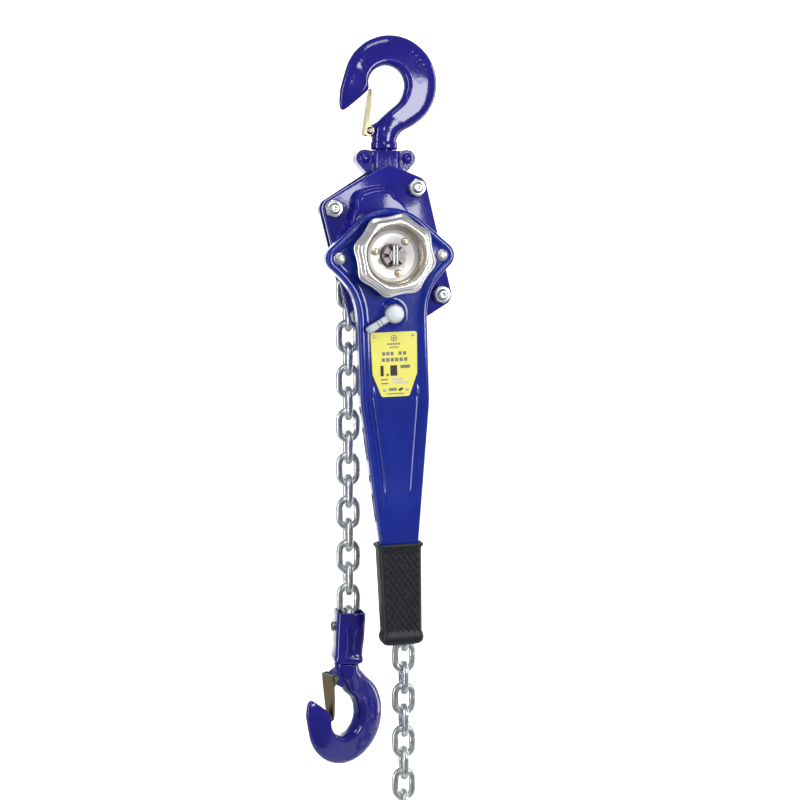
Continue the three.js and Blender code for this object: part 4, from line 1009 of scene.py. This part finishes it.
# ---------- chain
PITCH = 24
WIRE = 3.7
WIRE_SIDES = 14
LINK_HALF = 9.7
CROWN = PITCH / 2 + WIRE
FREE_CROWN = CROWN + 0.6
SHEAVE_LINKS = 8
LINKS_ROUND, LINKS_DOWN, LINKS_SLACK = 4, 17, 26
RING_RADIUS, RING_WIRE, RING_DROP = 12, 2.4, 20.9


def link(upright, up_end=CROWN, down_end=CROWN):
    """One welded link with a slight weld bulge on one side. An end is the middle of its crown.

    A free end is squarer and its wire is thinner, which leaves room for the next link to tilt.
    """
    up, down = up_end - LINK_HALF, down_end - LINK_HALF
    wire = WIRE - 0.15 if max(up_end, down_end) > CROWN else WIRE
    path, radii = [], []

    def crown(end, first, middle):
        power = 0.75 if end > CROWN else 1
        for k in range(13):
            x, y = around(1, first + pi * k / 12)
            path.append((copysign(abs(x) ** power, x) * LINK_HALF,
                         middle + copysign(abs(y) ** power, y) * LINK_HALF, 0))
            radii.append(wire)

    def side(x, *places):
        for t, bulge in places:
            path.append((x, up * t - down * (1 - t), 0))
            radii.append(wire + bulge)

    crown(up_end, 0, up)
    side(-LINK_HALF, (0.8, 0), (0.5, 0), (0.2, 0))
    crown(down_end, pi, -down)
    side(LINK_HALF, (0.28, 0), (0.36, 0.12), (0.45, 0.28), (0.55, 0.28), (0.64, 0.12), (0.72, 0))
    shape = tube(path, radii, WIRE_SIDES, closed=True)
    return shape if upright else transformed(shape, Matrix.Rotation(pi / 2, 4, "Y"))


def chain_run(x, top, count, upright_first):
    """A straight run of links downwards, each a quarter turn from the one above."""
    links = []
    for i in range(count):
        up_end = FREE_CROWN if i == 0 else CROWN
        one = link((i % 2 == 0) == upright_first, up_end)
        links.append(shifted(one, x, top - PITCH * (i + 0.5)))
    return merge(*links)


def add_chain():
    galvanic = dict(space="shaft", slot="chain_steel")
    radius = PITCH / (2 * sin(pi / SHEAVE_LINKS))
    phase, step = radians(6.2), 2 * pi / SHEAVE_LINKS
    x, y = around(radius, phase)
    wrap = []
    for i in range(LINKS_ROUND):
        up_end = FREE_CROWN if i == LINKS_ROUND - 1 else CROWN
        down_end = FREE_CROWN if i == 0 else CROWN
        one = shifted(link(i % 2 == 1, up_end, down_end), radius * cos(step / 2))
        wrap.append(spun(one, phase + step * (i + 0.5)))
    part("chain_round_sheave", merge(*wrap), body="chain_wheel", **galvanic, replaces=["chain_on_sheave"])
    part("load_chain_links", chain_run(-x, -y, LINKS_DOWN, False), body="load_chain", **galvanic,
         replaces=["chain_hook_side"])
    part("slack_chain_links", chain_run(x, y, LINKS_SLACK, True), body="slack_chain", **galvanic,
         replaces=["chain_slack_side"])
    ring_y = y - PITCH * (LINKS_SLACK - 0.5) - RING_DROP
    loop = [(*point, 0) for point in circle(0, 0, RING_RADIUS)]
    part("tail_ring_round", shifted(tube(loop, RING_WIRE, WIRE_SIDES, closed=True), x, ring_y), "shaft",
         "chain_stop", "zinc", replaces=["tail_ring"])


add_chain()


# ---------- bottom yoke
# height, half width, half depth and wall of the hollow body, from its lower end to its open top
YOKE_ROWS = [
    (-38.6, 13.7, 14.2, 4), (-38.2, 14.9, 15.4, 5), (-37.2, 15.6, 16.4, 5.6), (-35.6, 15.9, 16.8, 6),
    (-33, 15.9, 16.8, 6.4), (-31.6, 15.6, 16.3, 6), (-30.4, 15.1, 15.7, 6), (-20, 15.3, 15.9, 5),
    (-15, 15.7, 16.5, 3), (-12, 15.8, 16.6, 1.7), (8, 15.9, 16.8, 1.6), (14, 15.9, 16.8, 1.6),
    (16.6, 15.9, 16.8, 1.6), (17.2, 15.6, 16.5, 1.2), (17.4, 15.2, 16.1, 0.8),
]
# height, place across, lift and half width of the rib on each face
RIB_ROWS = [
    (2.5, 8, 0.2, 0.8), (0.5, 6.6, 1.3, 1.1), (-4, 4.6, 1.9, 1.25), (-12, 3.4, 2, 1.3),
    (-22, 3.2, 2, 1.3), (-27, 3.8, 2, 1.5), (-30.5, 6.6, 2, 1.9), (-32, 10.5, 1.2, 2),
]


def half_section(half, deep, corner):
    """The right half of a rounded rectangle, from the seam at the front round to the back."""
    section = [(SEAM, deep)]
    for y, start in ((deep - corner, pi / 2), (corner - deep, 0)):
        section += [around(corner, start - pi / 2 * k / 7, half - corner, y) for k in range(8)]
    return [*section, (SEAM, -deep)]


def bottom_yoke_half():
    """The right half of the bottom yoke: a hollow shell with a curved rib on its front and back."""
    shell = []
    for y, half, deep, wall in YOKE_ROWS:
        outer = half_section(half, deep, 7)
        inner = half_section(half - wall, deep - wall, max(7 - wall, 0.8))
        shell.append([(x, y, z) for x, z in outer + inner[::-1]])
    ribs = []
    for y, x, lift, wide in RIB_ROWS:
        foot = 15.7 if y > -20 else 15.1
        angles = [pi * k / 8 for k in range(9)]
        ribs.append([(x + wide * cos(a), y, foot + (lift + 0.6) * sin(a)) for a in angles])
    rib = lofted(ribs)
    back_points, back_faces = transformed(rib, Matrix.Diagonal((1, 1, -1, 1)))
    return merge(lofted(shell), rib, (back_points, [tuple(reversed(face)) for face in back_faces]))


def add_bottom_yoke():
    for side, turn in (("right", 0), ("left", pi)):
        half = transformed(bottom_yoke_half(), Matrix.Rotation(turn, 4, "Y"))
        part(f"bottom_yoke_{side}_half", half, "bottom", "load_yoke", "blue_paint",
             replaces=[f"bottom_yoke_{side}"], bevel=0.5, sharp=50)
    rows = [(0, -18.2), (2.4, -18.2), (2.6, -18), (2.9, -18), (3.2, -19.4), (4.4, -19.4), (5.2, -18.8),
            (5.4, -17), (4.5, -16.9), (4.5, 16.9), (3.9, 17.4), (0, 17.5)]
    bolt = transformed(turned(rows, 40), Matrix.Rotation(pi / 2, 4, "Y"))
    part("bottom_bolt_body", bolt, "bottom", "load_yoke", "dark_steel", replaces=["bottom_bolt"], sharp=40)


add_bottom_yoke()


# ---------- carried-over CAD nodes
SLOTS = {entry["node"]: entry["material_slot"] for entry in frame["record"]["subparts"]}
for name, obj in NODES.items():
    if not obj.hide_render:
        obj.data.materials.clear()
        obj.data.materials.append(shaft_steel if name == "pinion_shaft" else SLOT_LOOKS[SLOTS[name]])


# ---------- stage, lights and camera, in metres
VIEW_AZIMUTH = radians(-13.5)
VIEW_ELEVATION = radians(4.5)
VIEW_DISTANCE = 2
VIEW_TARGET = Vector((0.015589, 0, -0.360257))


def fade_sideways(tree, shader):
    """The backdrop glows in the middle and dims to the room's light at its sides."""
    coords = node(tree, "ShaderNodeTexCoord")
    across = node(tree, "ShaderNodeVectorMath")
    across.operation = "DOT_PRODUCT"
    across.inputs[1].default_value = (cos(VIEW_AZIMUTH), sin(VIEW_AZIMUTH), 0)
    size = node(tree, "ShaderNodeMath")
    size.operation = "ABSOLUTE"
    glow = node(tree, "ShaderNodeMapRange", From_Min=1, From_Max=1.65, To_Min=0.95, To_Max=0.2)
    glow.interpolation_type = "SMOOTHSTEP"
    join(tree, coords, "Object", across, 0)
    join(tree, across, "Value", size, 0)
    join(tree, size, "Value", glow, "Value")
    join(tree, glow, "Result", shader, "Emission Strength")


def stage():
    """A pale floor that curves up into a glowing backdrop behind the object."""
    low = CAD_BOUNDS[0][2] - 0.45
    wide, front, back, high, bend = 3.4, -0.4, 2.3, 1.6, 0.7
    section = [(front, low), (back - bend, low)]
    for k in range(1, 17):
        angle = pi / 2 * k / 16
        section.append((back - bend + bend * sin(angle), low + bend - bend * cos(angle)))
    section.append((back, high))
    count = len(section)
    mesh = bpy.data.meshes.new("studio_floor")
    mesh.from_pydata([(x, y, z) for x in (-wide, wide) for y, z in section], [],
                     [(k, k + 1, count + k + 1, count + k) for k in range(count - 1)])
    mesh.transform(Matrix.Rotation(VIEW_AZIMUTH, 4, "Z"))
    for name in ("studio_floor", "studio_wall"):
        look = finish(name, (0.84, 0.84, 0.84), (0.88, 0.88, 0.88), 0.9, grain=40, bump=0, patch=2)
        mesh.materials.append(look)
    shader = adjust(look.node_tree.nodes["Principled BSDF"], Emission_Color=(1, 1, 1, 1))
    fade_sideways(look.node_tree, shader)
    for polygon in mesh.polygons:
        polygon.use_smooth = True
        polygon.material_index = min(polygon.index, 1)
    floor = bpy.data.objects.new("studio_floor", mesh)
    bpy.context.scene.collection.objects.link(floor)


def softbox(name, place, target, wide, high, power):
    light = bpy.data.lights.new(name, "AREA")
    light.shape = "RECTANGLE"
    light.size = wide
    light.size_y = high
    light.energy = power
    lamp = bpy.data.objects.new(name, light)
    lamp.location = place
    lamp.rotation_euler = (Vector(target) - Vector(place)).to_track_quat("-Z", "Y").to_euler()
    bpy.context.scene.collection.objects.link(lamp)


def studio():
    stage()
    world = bpy.data.worlds.new("studio")
    world.use_nodes = True
    adjust(world.node_tree.nodes["Background"], Color=(0.9, 0.94, 1, 1), Strength=0.26)
    bpy.context.scene.world = world
    softbox("softbox_right", (0.82, -1.7, -0.08), (0, 0, -0.12), 0.72, 0.62, 17)
    softbox("softbox_left", (-1.8, -0.5, -0.25), (0, 0, -0.35), 0.3, 2, 16)
    softbox("softbox_rim", (1.75, 0.3, -0.25), (0, 0, -0.35), 0.3, 2, 12)
    softbox("softbox_top", (-0.1, -1.1, 1.3), (0, 0, -0.2), 0.8, 0.5, 8)
    softbox("front_key", (-0.35, -1.9, 0.5), (0, 0, -0.25), 0.3, 0.3, 3.5)


def camera():
    level = cos(VIEW_ELEVATION)
    back = Vector((sin(VIEW_AZIMUTH) * level, -cos(VIEW_AZIMUTH) * level, sin(VIEW_ELEVATION)))
    lens = bpy.data.cameras.new("camera")
    lens.lens = 82.38
    lens.sensor_width = 36
    lens.clip_end = 50
    eye = bpy.data.objects.new("camera", lens)
    eye.location = VIEW_TARGET + back * VIEW_DISTANCE
    eye.rotation_euler = (-back).to_track_quat("-Z", "Y").to_euler()
    bpy.context.scene.collection.objects.link(eye)
    bpy.context.scene.camera = eye
    bpy.context.scene.view_settings.view_transform = "Standard"


studio()
camera()
